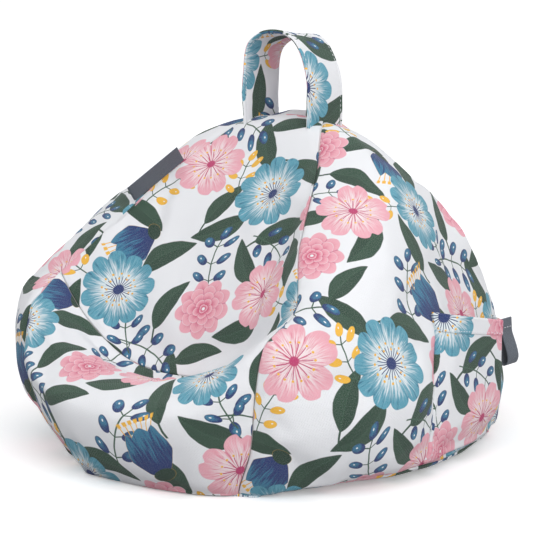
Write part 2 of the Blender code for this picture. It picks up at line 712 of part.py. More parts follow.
def zip_frame(group, surface, bag, strip_ids):
    """An empty at the zip's middle, tilted like the fabric there: x along the zip, y outwards, z up the fabric."""
    points, normals = bag
    row = strip_ids[ZIP_STATION * STEPS_PER_STATION]
    middle = row[len(row) // 2]
    out = Vector((0, *normals[middle][1:])).normalized()
    up = Vector((0, -out.z, out.y))
    at = Vector((0, *points[middle][1:]))
    reach = TAPE_TALL + TAPE_SPLIT
    corner = at - Vector((ZIP_HALF_LENGTH, 0, 0)) - up * reach
    lift = surface.highest(corner, (2 * ZIP_HALF_LENGTH, 0, 0), up * 2 * reach, out)
    frame = bpy.data.objects.new("zip_frame", None)
    frame.location = at + out * (lift - (at - corner).dot(out) + FIT_GAP)
    frame.rotation_euler = (math.atan2(out.z, out.y), 0, 0)
    group.objects.link(frame)
    return frame


def tooth_row(sign, shift):
    """Outline of a row of teeth on its spine: along the zip and up the fabric."""
    spine_low = TOOTH_LONG + FIT_GAP
    spine = spine_low + TOOTH_SPINE
    tip = spine_low - 2 * TOOTH_LONG + FIT_GAP
    half = ZIP_HALF_LENGTH - 2 * STOP_LONG
    pairs = int(half / TOOTH_PITCH) - 1
    first = -TOOTH_PITCH * (2 * pairs - 1) / 2 + shift
    outline = [(-half, spine), (-half, spine_low)]
    for k in range(2 * pairs):
        x = first + k * TOOTH_PITCH
        left, right = x - TOOTH_WIDE / 2, x + TOOTH_WIDE / 2
        outline += [(left, spine_low), (left, tip), (right, tip), (right, spine_low)]
    outline += [(half, spine_low), (half, spine)]
    return [(x, sign * z) for x, z in outline]


def add_zip(group, surface, bag, strip_ids):
    """Two tapes, two rows of teeth, end stops, and the slider with its pull."""
    frame = zip_frame(group, surface, bag, strip_ids)
    tape = material("zip_tape", ZIP_TAPE, 0.8)
    metal = material("zip_metal", ZIP_METAL, 0.35, 1.0)
    half = ZIP_HALF_LENGTH
    near, far = TAPE_SPLIT / 2, TAPE_SPLIT / 2 + TAPE_TALL
    add_box(group, "zip_tape_upper", (-half, 0, near), (half, TAPE_THICK, far), tape, frame)
    add_box(group, "zip_tape_lower", (-half, 0, -far), (half, TAPE_THICK, -near), tape, frame)
    base = TAPE_THICK + FIT_GAP
    upright = (math.pi / 2, 0, 0)
    for name, sign, shift in (("zip_teeth_upper", 1, -TOOTH_PITCH / 4), ("zip_teeth_lower", -1, TOOTH_PITCH / 4)):
        place = (0, base + TOOTH_THICK / 2, 0)
        add_outline(group, name, [tooth_row(sign, shift)], TOOTH_THICK, tape, place, upright, frame)
    row = TOOTH_LONG + FIT_GAP + TOOTH_SPINE
    top = base + TOOTH_THICK
    add_box(group, "zip_stop_right", (half - STOP_LONG, base, -row), (half, top, row), metal, frame)
    add_box(group, "zip_stop_left", (-half, base, -row), (STOP_LONG - half, top, row), metal, frame)
    add_slider(group, frame, top + FIT_GAP, metal)


def add_slider(group, frame, height, metal):
    """The slider, its bridge and its pull, closed at the left-hand end."""
    x = -ZIP_HALF_LENGTH + 2 * STOP_LONG + SLIDER_LONG / 2 + FIT_GAP
    tall, flange = SLIDER_TALL / 2, SLIDER_TALL / 2 - SLIDER_FLANGE
    section = [(-tall, -TOOTH_THICK), (-flange, -TOOTH_THICK), (-flange, 0), (flange, 0), (flange, -TOOTH_THICK),
               (tall, -TOOTH_THICK), (tall, SLIDER_PLATE), (-tall, SLIDER_PLATE)]
    sideways = (0, -math.pi / 2, 0)
    add_outline(group, "zip_slider", [section], SLIDER_LONG, metal, (x, height, 0), sideways, frame)
    half, bar, tall = BRIDGE_LONG / 2, BRIDGE_BAR, BRIDGE_TALL
    arch = [(-half, 0), (bar - half, 0), (bar - half, tall - bar), (half - bar, tall - bar), (half - bar, 0),
            (half, 0), (half, tall), (-half, tall)]
    foot = height + SLIDER_PLATE + FIT_GAP
    add_outline(group, "zip_bridge", [arch], BRIDGE_WIDE, metal, (x, foot, 0), (0, 0, 0), frame)
    r, wide = PULL_THICK / 2, PULL_WIDE / 2
    near, arm = -PULL_LONG, wide * PULL_TAPER_SHARE
    tab = [(r, -wide), (r, wide), (near, arm), (near - arm, 0), (near, -arm)]
    eye = [(-r, PULL_ARM_WIDE - wide), (-r, wide - PULL_ARM_WIDE),
           (-PULL_EYE, wide - PULL_ARM_WIDE), (-PULL_EYE, PULL_ARM_WIDE - wide)]
    hinge = (x, foot + FIT_GAP + r, 0)
    add_outline(group, "zip_pull", [tab, eye], PULL_THICK, metal, hinge, (math.pi / 2, 0, 0), frame)


def main():
    clear_objects()
    group = bpy.data.collections.new("beanbag_tablet_stand")
    bpy.context.scene.collection.children.link(group)
    points, strip_ids, side_ids = bag_surface()
    around = np.concatenate([strip_ids, strip_ids[:1]])
    triangles = np.concatenate([
        grid_triangles(around, left_half(around)),
        grid_triangles(side_ids[1]),
        grid_triangles(side_ids[-1], all_cells(side_ids[-1])),
    ])
    normals = point_normals(points, triangles)
    bag = (points, normals)
    add_cover(group, bag, strip_ids, side_ids)
    add_liner(group, bag, triangles, strip_ids)
    add_beads(group, bag, triangles)
    surface = Surface()
    surface.add(points, triangles)
    add_handle(group, surface)
    add_label(group, surface, bag, strip_ids)
    add_zip(group, surface, bag, strip_ids)
    add_pocket(group, surface)
    add_ribbon(group, surface)


main()
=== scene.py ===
"""A filled fabric stand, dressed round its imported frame: printed cotton over a soft filling, a strap handle, a side
pocket, a label, a ribbon loop and a zip. Metres, +Z up, the front faces -Y."""
import math

import bpy
import numpy as np
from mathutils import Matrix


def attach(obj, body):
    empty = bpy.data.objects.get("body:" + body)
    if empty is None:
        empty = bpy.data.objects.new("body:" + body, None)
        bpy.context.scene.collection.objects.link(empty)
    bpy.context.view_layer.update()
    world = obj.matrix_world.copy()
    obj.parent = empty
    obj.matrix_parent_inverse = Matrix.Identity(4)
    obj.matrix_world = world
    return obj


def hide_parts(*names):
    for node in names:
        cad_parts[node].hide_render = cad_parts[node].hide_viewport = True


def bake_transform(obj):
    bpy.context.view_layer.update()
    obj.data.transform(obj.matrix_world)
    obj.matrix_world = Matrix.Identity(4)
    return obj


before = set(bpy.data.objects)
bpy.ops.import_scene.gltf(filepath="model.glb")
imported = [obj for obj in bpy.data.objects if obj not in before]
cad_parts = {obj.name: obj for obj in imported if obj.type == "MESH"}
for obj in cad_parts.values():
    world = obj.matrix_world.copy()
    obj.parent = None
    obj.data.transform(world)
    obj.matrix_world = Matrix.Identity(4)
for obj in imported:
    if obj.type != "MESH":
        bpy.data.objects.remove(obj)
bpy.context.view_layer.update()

# size of the filled bag
FACE_HALF_WIDTH = 0.100
BAG_DEPTH = 0.300
BAG_HEIGHT = 0.200
SIDE_BULGE = 0.040

# seam round each side, as shares of half width, depth and height, one row per station
SEAM_SHARES = (
    (0.85, -0.418, 0.016), (0.97, -0.43, 0.16), (1.0, -0.43, 0.32),
    (1.0, -0.407, 0.47), (1.0, -0.357, 0.525), (1.0, -0.30, 0.58), (0.80, -0.207, 0.728),
    (0.60, -0.067, 0.903), (0.34, 0.073, 1.06), (0.29, 0.12, 1.064), (0.31, 0.173, 1.040),
    (0.48, 0.234, 0.936), (0.75, 0.32, 0.772), (0.96, 0.395, 0.53),
    (1.04, 0.42, 0.323), (1.04, 0.418, 0.145), (1.01, 0.402, 0.004),
    (1.21, 0.322, 0.010), (1.355, 0.219, 0.024), (1.44, 0.116, 0.034), (1.49, 0.015, 0.034), (1.495, -0.088, 0.034),
    (1.425, -0.18, 0.030), (1.28, -0.265, 0.026), (1.13, -0.33, 0.022), (1.01, -0.383, 0.018),
)
# middle line of the same stations: depth share, height share, and how square the cross-section is
MIDDLE_SHARES = (
    (-0.49, 0.0, 3.4), (-0.545, 0.13, 2.4), (-0.548, 0.26, 2.4),
    (-0.463, 0.33, 2.4), (-0.387, 0.33, 2.4), (-0.317, 0.305, 2.6), (-0.18, 0.58, 3.0),
    (-0.063, 0.822, 3.0), (0.033, 1.032, 2.4), (0.113, 1.086, 2.2), (0.187, 1.078, 2.2),
    (0.292, 0.98, 2.2), (0.43, 0.798, 2.4), (0.535, 0.549, 3.2),
    (0.57, 0.35, 5.0), (0.547, 0.17, 5.6), (0.497, 0.0, 4.0),
    (0.383, 0.0, 5.0), (0.287, 0.0, 9.0), (0.19, 0.0, 16.0), (0.093, 0.0, 16.0), (-0.003, 0.0, 16.0),
    (-0.10, 0.0, 14.0), (-0.197, 0.0, 12.0), (-0.293, 0.0, 9.0), (-0.40, 0.0, 6.0),
)
SWELL_SHARES = (0.0, 0.34, 0.62, 0.84, 0.96, 1.0, 0.96, 0.84, 0.62, 0.34, 0.0)
SWELL_POWER_LOW = 2.2
SWELL_POWER_HIGH = 5.0
SLUMP = 0.035
SLUMP_HEIGHT = 0.115
SLUMP_REACH = 0.060
SLUMP_BACK = 0.125
FRONT_FOOT, LIP_CREST, CREASE, TOP_FRONT = 0, 3, 5, 9
BACK_SHOULDER, ZIP_STATION, BACK_FOOT, LAST = 13, 15, 16, 26

# how finely the bag is sampled
PER_STATION = 8
ACROSS = 34
NEAR_SEAM = (0.25, 0.6)

# layers of the bag: the cover and how it turns in at a seam, and how far inside its face the next two lie
COVER_THICK = 0.0012
SEAM_GAP = 0.0004
SEAM_ROLL = 0.0019
INNER_BAG_DEEP = 0.0040
FILLING_DEEP = 0.0052
# the inner layers lie less deep at a seam, by this share of their depth and slope, and are drawn in near the floor
INSIDE_AT_SEAM, INSIDE_SLOPE = 0.35, 0.25
INSIDE_DRAWN_IN, INSIDE_LOW, INSIDE_OVER_FLOOR = 12, (0.032, 0.006), 0.6

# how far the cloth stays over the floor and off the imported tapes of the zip
FLOOR_CLEAR = 0.0004
ZIP_CLEAR = 0.0004

# where the cloth is held or flat: each pair is the distance or height at which it is free and at which it is held
SEAM_HOLD = 0.005
FLOOR_HOLD, FLOOR_CALM, TOP_HOLD = (0.010, 0.001), (0.006, 0.0), (0.185, 0.200)
ZIP_HOLD, ZIP_FLAT = ((0.10, 0.07), (0.03, 0.016)), ((0.085, 0.064), (0.026, 0.014))
FOOT_REACH, FOOT_LOW = (0.045, 0.012), (0.035, 0.006)
SLOT_SIDE_X, ZIP_SIDE_Y = 0.08, 0.05

# softness: groove and pucker of a seam, the ridges beside a fold, and height, size and seed of the lumps
GROOVE_DEEP, GROOVE_WIDE = 0.0012, 0.004
PUCKER_HIGH, PUCKER_REACH = 0.0017, 0.011
RIDGE_HIGH, RIDGE_AT, RIDGE_WIDE = 0.75, 1.7, 0.8
PUCKER_WAVES, PUCKER_STRONG_WAVES = ((0.031, 0.019, 0.013, 0.047), 3), ((0.11, 0.17), 5)
COVER_LUMPS = ((0.0010, 0.09, 11), (0.0005, 0.035, 12))

# the side pocket, and the slot behind it
POCKET_FRONT_FOOT_Y = -0.022
POCKET_FRONT_TOP_Y = 0.003
POCKET_BOTTOM_Z = 0.015
POCKET_HEM_FRONT_Z = 0.101
POCKET_HEM_BACK_Z = 0.076
SLOT_PROUD = 0.0035
SLOT_DEEP = 0.0095
SLOT_FRONT_Y = 0.004
SLOT_BACK_Y = 0.070
SLOT_LOW_Z = 0.026
SLOT_HIGH_Z = 0.109
SLOT_BLEND = 0.028
POCKET_FLARE = 0.014
POCKET_TUCK = 0.012
POCKET_THICK = 0.0012
HEM_LAYER = 0.0004
HEM_ROWS = 7
HEM_CLEAR = 0.0001
POCKET_ROWS = 56
POCKET_COLUMNS = 72
POCKET_FOOT_Z = 0.0105
POCKET_BACK_INSET = 0.0045
POCKET_GAP = 0.0006
POCKET_TURN_Y = 0.062
POCKET_SHIFT = (0.12, 0.71)
POCKET_EASE = 0.0015
POCKET_SEWN_IN = 0.0006
POCKET_LUMPS = (0.0008, 0.05, 31)
# columns crowd together in this share of the pocket at its front, and a turned edge: how deep, how far back, how long
FRONT_SHARE, FRONT_COLUMNS, STITCH_COLUMN = 0.16, 16, 2
UNDER_DEEP, UNDER_BACK, UNDER_LONG = 0.0011, 0.0007, 0.002

# strap handle
HANDLE_Y = 0.034
HANDLE_HINGE_Z = 0.23395
STRAP_WIDTH = 0.038
STRAP_THICK = 0.0024
# middle line of the strap beside its hinge: across and up, from the left-hand seam over the top to the right
STRAP_LINE = (
    (-0.0270, -0.0320), (-0.0276, -0.0150), (-0.0285, -0.0020), (-0.0291, 0.0100), (-0.0289, 0.0190), (-0.0262, 0.0272),
    (-0.0185, 0.0332), (-0.0090, 0.0357), (0.0005, 0.0357), (0.0078, 0.0334), (0.0138, 0.0288), (0.0196, 0.0208),
    (0.0243, 0.0100), (0.0268, -0.0020), (0.0274, -0.0150), (0.0270, -0.0320),
)
STRAP_LEAN = math.radians(7)
STRAP_EDGE_SHARES = (0.0, 0.22, 0.44, 0.62, 0.75, 0.82, 0.86, 0.90, 0.95, 0.985, 1.0)
STRAP_STITCH_SHARE = 0.86
STRAP_SHIFT = (0.30, 0.47)
STRAP_LUMPS = (0.0005, 0.030, 21)
# changes of thickness: by how much, at which share of the half width, and how wide
STRAP_RIM, STRAP_GROOVE, STRAP_EDGE_POWER = (0.16, 0.955, 0.04), (-0.36, STRAP_STITCH_SHARE, 0.03), 30
STRAP_LEANS_FROM, STRAP_LEANS_FULL, STRAP_SHIFT_FROM = -0.016, 0.016, 0.006
STRAP_POINTS = 96

# stitches
STITCH_LONG = 0.0023
STITCH_PITCH = 0.0032
STITCH_THICK = 0.00042
STITCH_RINGS, STITCH_SIDES = 5, 6
# how a stitch falls off to its ends: share and power for its radius; height at its middle, share and power for its
# height over the cloth
STITCH_TAPER, STITCH_SINK = (0.85, 3), (0.32, 0.75, 2.5)

# label and ribbon: fold is the radius at the turned edge
LABEL_LONG = 0.044
LABEL_THICK = 0.00042
LABEL_FOLD = 0.00030
LABEL_SEWN_IN = 0.0012
LABEL_BOW = 0.0010
RIBBON_WIDTH = 0.013
RIBBON_THICK = 0.0007
RIBBON_FOLD = 0.00040

# zip tapes
TAPE_HALF_WIDE = 0.0052
TAPE_SHIFT = 0.0007
TAPE_THICK = 0.00055
TAPE_RIPPLE, TAPE_RIPPLE_LONG = 0.00008, 0.0021

# meshes from arrays


def quads_of(ids):
    """The quads between the numbers of a grid of points."""
    return np.stack([ids[:-1, :-1], ids[:-1, 1:], ids[1:, 1:], ids[1:, :-1]], -1).reshape(-1, 4)


def cells(rows, columns):
    """Quads of a grid of points numbered row by row."""
    return quads_of(np.arange(rows * columns).reshape(rows, columns))


def corner_points(mesh):
    """The number of the point at each corner of a mesh's faces."""
    out = np.zeros(len(mesh.loops), np.int64)
    mesh.loops.foreach_get("vertex_index", out)
    return out


def mesh_from(name, points, quads, cloth=None):
    """A smooth mesh. Cloth is each point's place on the flat fabric, in metres, kept as a UV map."""
    mesh = bpy.data.meshes.new(name)
    mesh.from_pydata(np.asarray(points, float).reshape(-1, 3).tolist(), [], np.asarray(quads).tolist())
    if cloth is not None:
        layer = mesh.uv_layers.new(name="cloth")
        layer.data.foreach_set("uv", np.asarray(cloth, float).reshape(-1, 2)[corner_points(mesh)].ravel())
    mesh.update()
    mesh.shade_smooth()
    return mesh


def add_to_scene(name, data):
    obj = bpy.data.objects.new(name, data)
    bpy.context.scene.collection.objects.link(obj)
    return obj


def linked(name, points, quads, cloth=None):
    """A new mesh object at the origin, linked to the scene."""
    return add_to_scene(name, mesh_from(name, points, quads, cloth))


def piece(name, points, quads, finish, cloth=None):
    """A new object with one finish."""
    obj = linked(name, points, quads, cloth)
    obj.data.materials.append(finish)
    return obj


def smoothed(obj):
    """Rounds a mesh off by subdivision."""
    made = obj.modifiers.new("smooth", "SUBSURF")
    made.levels = made.render_levels = 1
    return obj


def thickened(obj, thick, offset):
    """Gives a sheet its thickness: inwards at an offset of -1, both ways at 0 and outwards at 1."""
    solid = obj.modifiers.new("thickness", "SOLIDIFY")
    solid.thickness = thick
    solid.offset = offset
    return obj


def points_of(obj):
    """The points of an object's mesh with its modifiers, as an array."""
    shown = obj.evaluated_get(bpy.context.evaluated_depsgraph_get())
    mesh = shown.to_mesh()
    out = np.zeros(len(mesh.vertices) * 3)
    mesh.vertices.foreach_get("co", out)
    shown.to_mesh_clear()
    return out.reshape(-1, 3)


def remove(obj):
    mesh = obj.data
    bpy.data.objects.remove(obj, do_unlink=True)
    bpy.data.meshes.remove(mesh)


def unit(v):
    """Vectors made one long."""
    return v / np.maximum(np.linalg.norm(v, axis=-1, keepdims=True), 1e-12)


def grid_normals(grid):
    """The direction square to a grid of points, from the differences along its rows and columns."""
    along = np.gradient(grid, axis=1)
    up = np.gradient(grid, axis=0)
    return unit(np.cross(along, up))


def smoothstep(x, low, high):
    """0 at low, 1 at high and smooth in between. High may be the lesser."""
    t = np.clip((x - low) / (high - low), 0, 1)
    return t * t * (3 - 2 * t)


def distance_along(line):
    """The distance along a line to each of its points."""
    return np.concatenate([[0], np.cumsum(np.linalg.norm(np.diff(line, axis=0), axis=1))])


def extent(cut):
    """How wide and how long a flat cut is."""
    return tuple(float(d) for d in cut.reshape(-1, 2).max(0) - cut.reshape(-1, 2).min(0))


def node_points(name):
    """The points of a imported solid."""
    return np.array([v.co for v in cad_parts[name].data.vertices])


# the bag


def loop_at(rows, t):
    """A smooth closed curve through the rows at the stations t: between each pair, the cubic whose slope at a row is
    half the step from the row before to the row after."""
    rows = np.asarray(rows, float)
    i = np.floor(t).astype(int)
    f = (t - i)[:, None]
    p0, p1, p2, p3 = (rows[(i + k) % len(rows)] for k in (-1, 0, 1, 2))
    return (2 * p1 + (p2 - p0) * f + (2 * p0 - 5 * p1 + 4 * p2 - p3) * f**2 + (3 * p1 - p0 - 3 * p2 + p3) * f**3) / 2


def stations(low, high, count, crowded=()):
    """Evenly spaced stations from low to high, with more of them beside the crowded ones."""
    t = np.linspace(low, high, count + 1)
    step = (high - low) / count
    extra = [c + side * share * step for c in crowded for side in (-1, 1) for share in NEAR_SEAM]
    return np.unique(np.round([x for x in (*t, *extra) if low - 1e-9 <= x <= high + 1e-9], 9))


T_TOP = stations(LIP_CREST, BACK_SHOULDER, PER_STATION * 10, (LIP_CREST, CREASE, TOP_FRONT, BACK_SHOULDER))
T_BACK = stations(BACK_SHOULDER, BACK_FOOT, PER_STATION * 3, (BACK_SHOULDER, ZIP_STATION, BACK_FOOT))
T_FRONT = stations(FRONT_FOOT, LIP_CREST, len(T_BACK) - 5, (FRONT_FOOT, LIP_CREST))
T_FLOOR = np.linspace(BACK_FOOT, LAST, len(T_TOP))
T_ALL = np.concatenate([T_FRONT[:-1], T_TOP[:-1], T_BACK[:-1], T_FLOOR[:-1]])
U_ALL = stations(-1, 1, ACROSS, (-1, 1))


def station_row(station):
    """The row of the strip at a station."""
    return int(np.argmin(np.abs(T_ALL - station)))


def seam_line(t):
    """The right-hand seam in metres, never below the floor."""
    seam = loop_at(SEAM_SHARES, t) * (FACE_HALF_WIDTH, BAG_DEPTH, BAG_HEIGHT)
    seam[:, 2] = np.maximum(seam[:, 2], 0)
    return seam


def strip_grid():
    """The band between the seams: x is a share u of the half width; y and z run from the middle line to the seam as a
    power of that share."""
    seam, middle = seam_line(T_ALL), loop_at(MIDDLE_SHARES, T_ALL)
    u = U_ALL[None, :]
    share = np.abs(u) ** middle[:, 2:3]
    y = middle[:, 0:1] * BAG_DEPTH
    z = np.maximum(middle[:, 1:2], 0) * BAG_HEIGHT
    return np.stack([u * seam[:, 0:1], y + (seam[:, 1:2] - y) * share, z + (seam[:, 2:3] - z) * share], -1)


def side_edges():
    """Rows of the seam on the four edges of a side: floor, top, front and back."""
    count = len(T_ALL)
    lip, shoulder, foot = (station_row(s) for s in (LIP_CREST, BACK_SHOULDER, BACK_FOOT))
    floor = [0] + list(range(count - 1, foot - 1, -1))
    return floor, list(range(lip, shoulder + 1)), list(range(0, lip + 1)), list(range(foot, shoulder - 1, -1))


def side_grid():
    """A side filled in between its edges: the sum of the blends of opposite edges, less the blend of the corners,
    swollen outwards by shares of the greatest bulge."""
    seam = seam_line(T_ALL)
    floor, top, front, back = (seam[i] for i in side_edges())
    a = np.linspace(0, 1, len(top))[None, :, None]
    b = np.linspace(0, 1, len(front))[:, None, None]
    p = (1 - b) * floor[None] + b * top[None] + (1 - a) * front[:, None] + a * back[:, None]
    p = p - (1 - a) * (1 - b) * floor[0] - a * (1 - b) * floor[-1] - (1 - a) * b * top[0] - a * b * top[-1]
    along = np.interp(a, np.linspace(0, 1, len(SWELL_SHARES)), SWELL_SHARES)
    power = np.where(b < 0.5, SWELL_POWER_LOW, SWELL_POWER_HIGH)
    return p + along * (1 - np.abs(2 * b - 1) ** power) * np.array([SIDE_BULGE, 0, 0])


def slot_share(y, z):
    """How fully the slot behind the pocket is pressed into the side, from 0 to 1."""
    across = np.clip((y - SLOT_FRONT_Y) / SLOT_BLEND + 1, 0, 1) * np.clip((SLOT_BACK_Y - y) / SLOT_BLEND + 1, 0, 1)
    up = np.clip((z - SLOT_LOW_Z) / SLOT_BLEND + 1, 0, 1) * np.clip((SLOT_HIGH_Z - z) / SLOT_BLEND + 1, 0, 1)
    share = across * up
    return share * share * (3 - 2 * share)


def bag_surface():
    """Points of the closed bag, with grids of point numbers for the strip and the two sides."""
    strip = strip_grid()
    count, wide = strip.shape[:2]
    points, total = [strip.reshape(-1, 3)], count * wide
    strip_ids = np.arange(total).reshape(count, wide)
    floor, top, front, back = side_edges()
    side_ids = {}
    for sign, column in ((1, wide - 1), (-1, 0)):
        grid = side_grid() * (sign, 1, 1)
        ids = np.zeros(grid.shape[:2], int)
        ids[1:-1, 1:-1] = total + np.arange((ids.shape[0] - 2) * (ids.shape[1] - 2)).reshape(ids.shape[0] - 2, -1)
        total = ids.max() + 1
        points.append(grid[1:-1, 1:-1].reshape(-1, 3))
        ids[0, :], ids[-1, :] = strip_ids[floor, column], strip_ids[top, column]
        ids[:, 0], ids[:, -1] = strip_ids[front, column], strip_ids[back, column]
        side_ids[sign] = ids if sign > 0 else ids[:, ::-1]
    points = np.concatenate(points)
    low = np.clip(1 - points[:, 2] / SLUMP_HEIGHT, 0, 1) ** 2
    left = np.clip(-points[:, 0] / SLUMP_REACH, 0, 1) ** 2 * np.clip(1 - points[:, 1] / SLUMP_BACK, 0, 1)
    points[:, 0] += SLUMP * low * left
    right = side_ids[1][1:-1, 1:-1].ravel()
    over = np.maximum(points[right, 0] - (FACE_HALF_WIDTH + SIDE_BULGE + SLOT_PROUD), 0)
    points[right, 0] -= over * slot_share(points[right, 1], points[right, 2])
    return points, strip_ids, side_ids


def bag_quads(strip_ids, side_ids):
    """All the quads of the closed bag."""
    closed = np.concatenate([strip_ids, strip_ids[:1]])
    return np.concatenate([quads_of(closed), quads_of(side_ids[1]), quads_of(side_ids[-1])])


def point_normals(points, quads):
    """Outward direction at each point: the sum of the areas of the quads that meet there."""
    a, b, c, d = (points[quads[:, k]] for k in range(4))
    area = np.cross(c - a, d - b)
    out = np.zeros_like(points)
    for k in range(4):
        np.add.at(out, quads[:, k], area)
    return unit(out)


def nearest(points, targets, block=2000):
    """For each point, the distance to the nearest target and that target's number."""
    far, which = np.zeros(len(points)), np.zeros(len(points), int)
    for start in range(0, len(points), block):
        gap = np.linalg.norm(points[start:start + block, None] - targets[None], axis=-1)
        which[start:start + block] = gap.argmin(1)
        far[start:start + block] = gap.min(1)
    return far, which


def waves(at, lengths, seed):
    """A sum of sines of a distance, with phases that are fixed by the seed: an uneven ripple from -1 to 1."""
    phases = np.random.default_rng(seed).uniform(0, 2 * math.pi, len(lengths))
    return sum(np.sin(2 * math.pi * at / length + phase) for length, phase in zip(lengths, phases)) / len(lengths)


def lumps(points, high, size, seed):
    """A soft uneven height over space, mostly from -high to high: a sum of sines along five slanted directions."""
    turn = np.random.default_rng(seed)
    total = np.zeros(points.shape[:-1])
    for _ in range(5):
        direction = unit(turn.normal(size=3))
        total += np.sin(points @ direction * 2 * math.pi / (size * turn.uniform(0.8, 1.5)) + turn.uniform(0, 6.3))
    return high * total / 3


MOVE_MOST = 0.0035
SWELL_FRAMES = 18
HELD_STEPS = 10


def swelled(points, quads, held):
    """The bag as cloth that is a little too large for its seams, blown up from inside. Held is how firmly each point
    keeps its place, from 0 to 1. No point moves further than MOVE_MOST."""
    obj = linked("bag_cloth", points, quads)
    group = obj.vertex_groups.new(name="held")
    level = np.round(held * HELD_STEPS).astype(int)
    for k in range(1, HELD_STEPS + 1):
        group.add(np.flatnonzero(level == k).tolist(), k / HELD_STEPS, "REPLACE")
    cloth = obj.modifiers.new("cloth", "CLOTH")
    cloth.collision_settings.use_collision = False
    s = cloth.settings
    s.quality = 6
    s.mass = 0.15
    s.tension_stiffness = s.compression_stiffness = 18
    s.shear_stiffness = 8
    s.bending_stiffness = 0.35
    s.use_pressure = True
    s.uniform_pressure_force = 4
    s.vertex_group_mass = "held"
    s.shrink_min = -0.022
    s.effector_weights.gravity = 0
    scene = bpy.context.scene
    for number in range(1, SWELL_FRAMES + 1):
        scene.frame_set(number)
    moved = points_of(obj) - points
    scene.frame_set(1)
    remove(obj)
    far = np.linalg.norm(moved, axis=1, keepdims=True)
    return points + moved * np.minimum(1, MOVE_MOST / np.maximum(far, 1e-9)) * (1 - held[:, None])


# folds that cross the cloth: start, end, depth and width in metres
FOLDS = (
    ((-0.092, -0.128, 0.098), (-0.040, -0.150, 0.050), 0.0016, 0.008),
    ((-0.098, -0.100, 0.100), (-0.120, -0.060, 0.060), 0.0018, 0.009),
    ((-0.080, -0.118, 0.004), (-0.060, -0.160, 0.034), 0.0022, 0.008),
    ((-0.020, -0.151, 0.003), (-0.012, -0.166, 0.030), 0.0018, 0.009),
    ((0.050, -0.140, 0.003), (0.060, -0.152, 0.034), 0.0018, 0.008),
    ((0.098, -0.110, 0.006), (0.120, -0.080, 0.046), 0.0018, 0.009),
    ((0.132, -0.060, 0.006), (0.138, -0.030, 0.050), 0.0016, 0.009),
    ((0.100, -0.092, 0.112), (0.112, -0.050, 0.090), 0.0020, 0.008),
    ((0.094, -0.080, 0.118), (0.104, -0.044, 0.120), 0.0018, 0.007),
    ((0.030, 0.050, 0.200), (0.056, 0.050, 0.165), 0.0018, 0.008),
    ((0.028, 0.030, 0.205), (0.058, 0.010, 0.165), 0.0016, 0.008),
    ((-0.030, 0.050, 0.200), (-0.060, 0.060, 0.160), 0.0018, 0.009),
    ((-0.040, 0.120, 0.004), (-0.050, 0.160, 0.040), 0.0014, 0.009),
    ((0.090, 0.110, 0.006), (0.104, 0.110, 0.050), 0.0018, 0.009),
    ((-0.110, 0.070, 0.006), (-0.132, 0.050, 0.055), 0.0018, 0.010),
    ((-0.135, -0.020, 0.005), (-0.140, -0.030, 0.050), 0.0016, 0.010),
)


def folded(points):
    """How far each point moves outwards for the folds: across a fold's line a valley of a bell curve's shape with a
    ridge on either side, and along it half a sine."""
    total = np.zeros(len(points))
    for start, end, depth, width in FOLDS:
        start, end = np.array(start), np.array(end)
        run = end - start
        t = (points - start) @ run / (run @ run)
        away = np.linalg.norm(points - (start + np.clip(t, 0, 1)[:, None] * run), axis=1) / width
        along = np.sin(math.pi * np.clip(t, 0, 1)) ** 0.7 * ((t > 0) & (t < 1))
        ridge = RIDGE_HIGH * np.exp(-((away - RIDGE_AT) / RIDGE_WIDE) ** 2)
        total += depth * along * (ridge - np.exp(-away**2))
    return total


def seam_rows(strip_ids):
    """Point numbers along each seam of the cover."""
    rows = [strip_ids[:, 0], strip_ids[:, -1]]
    return rows + [strip_ids[station_row(s)] for s in (CREASE, TOP_FRONT, ZIP_STATION)]


def seam_work(points, strip_ids):
    """How far each point moves outwards for the seams: a groove on the seam, and an uneven pucker that fades off it."""
    lines = [points[row] for row in seam_rows(strip_ids)]
    far, which = nearest(points, np.concatenate(lines))
    at = np.concatenate([distance_along(line) + k for k, line in enumerate(lines)])[which]
    ripple = waves(at, *PUCKER_WAVES)
    strong = 0.5 + 0.5 * waves(at, *PUCKER_STRONG_WAVES)
    pucker = PUCKER_HIGH * ripple * strong * np.exp(-far / PUCKER_REACH) * smoothstep(far, 0.0, SEAM_HOLD)
    return pucker - GROOVE_DEEP * np.exp(-(far / GROOVE_WIDE) ** 2)


def zip_plane():
    """The zip's own directions and the level of the fabric under its tapes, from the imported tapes."""
    tape, other = node_points("zip_tape_upper"), node_points("zip_tape_lower")
    up = unit((tape.mean(0) - other.mean(0)) * (0, 1, 1))
    out = np.array([0, up[2], -up[1]])
    return (tape.mean(0) + other.mean(0)) / 2, up, out, min((tape @ out).min(), (other @ out).min())


def by_zip(points, sideways, upwards):
    """1 close to the zip and 0 away from it. Each pair of distances is where it is 0 and where it is 1."""
    middle, up, _, _ = zip_plane()
    return smoothstep(np.abs(points[:, 0]), *sideways) * smoothstep(np.abs((points - middle) @ up), *upwards)


def above_floor(points):
    """Points, with none of them lower than the cloth may lie."""
    points[..., 2] = np.maximum(points[..., 2], FLOOR_CLEAR)
    return points


def seated(points):
    """The fabric lies flat behind the zip and never goes below the floor."""
    _, _, out, level = zip_plane()
    near = by_zip(points, *ZIP_FLAT) * (points @ out > level - 0.02)
    over = points @ out - (level - ZIP_CLEAR)
    return above_floor(points - out * (over * near * (over > -0.004))[:, None])


def grounded(points, corners):
    """The seams' lower corners come down to the floor: close to each, all that is low moves down by its height."""
    for corner in corners:
        x, y, height = points[corner]
        near = smoothstep(np.hypot(points[:, 0] - x, points[:, 1] - y), *FOOT_REACH)
        points[:, 2] -= near * smoothstep(points[:, 2], *FOOT_LOW) * max(height - 2 * FLOOR_CLEAR, 0)
    return above_floor(points)


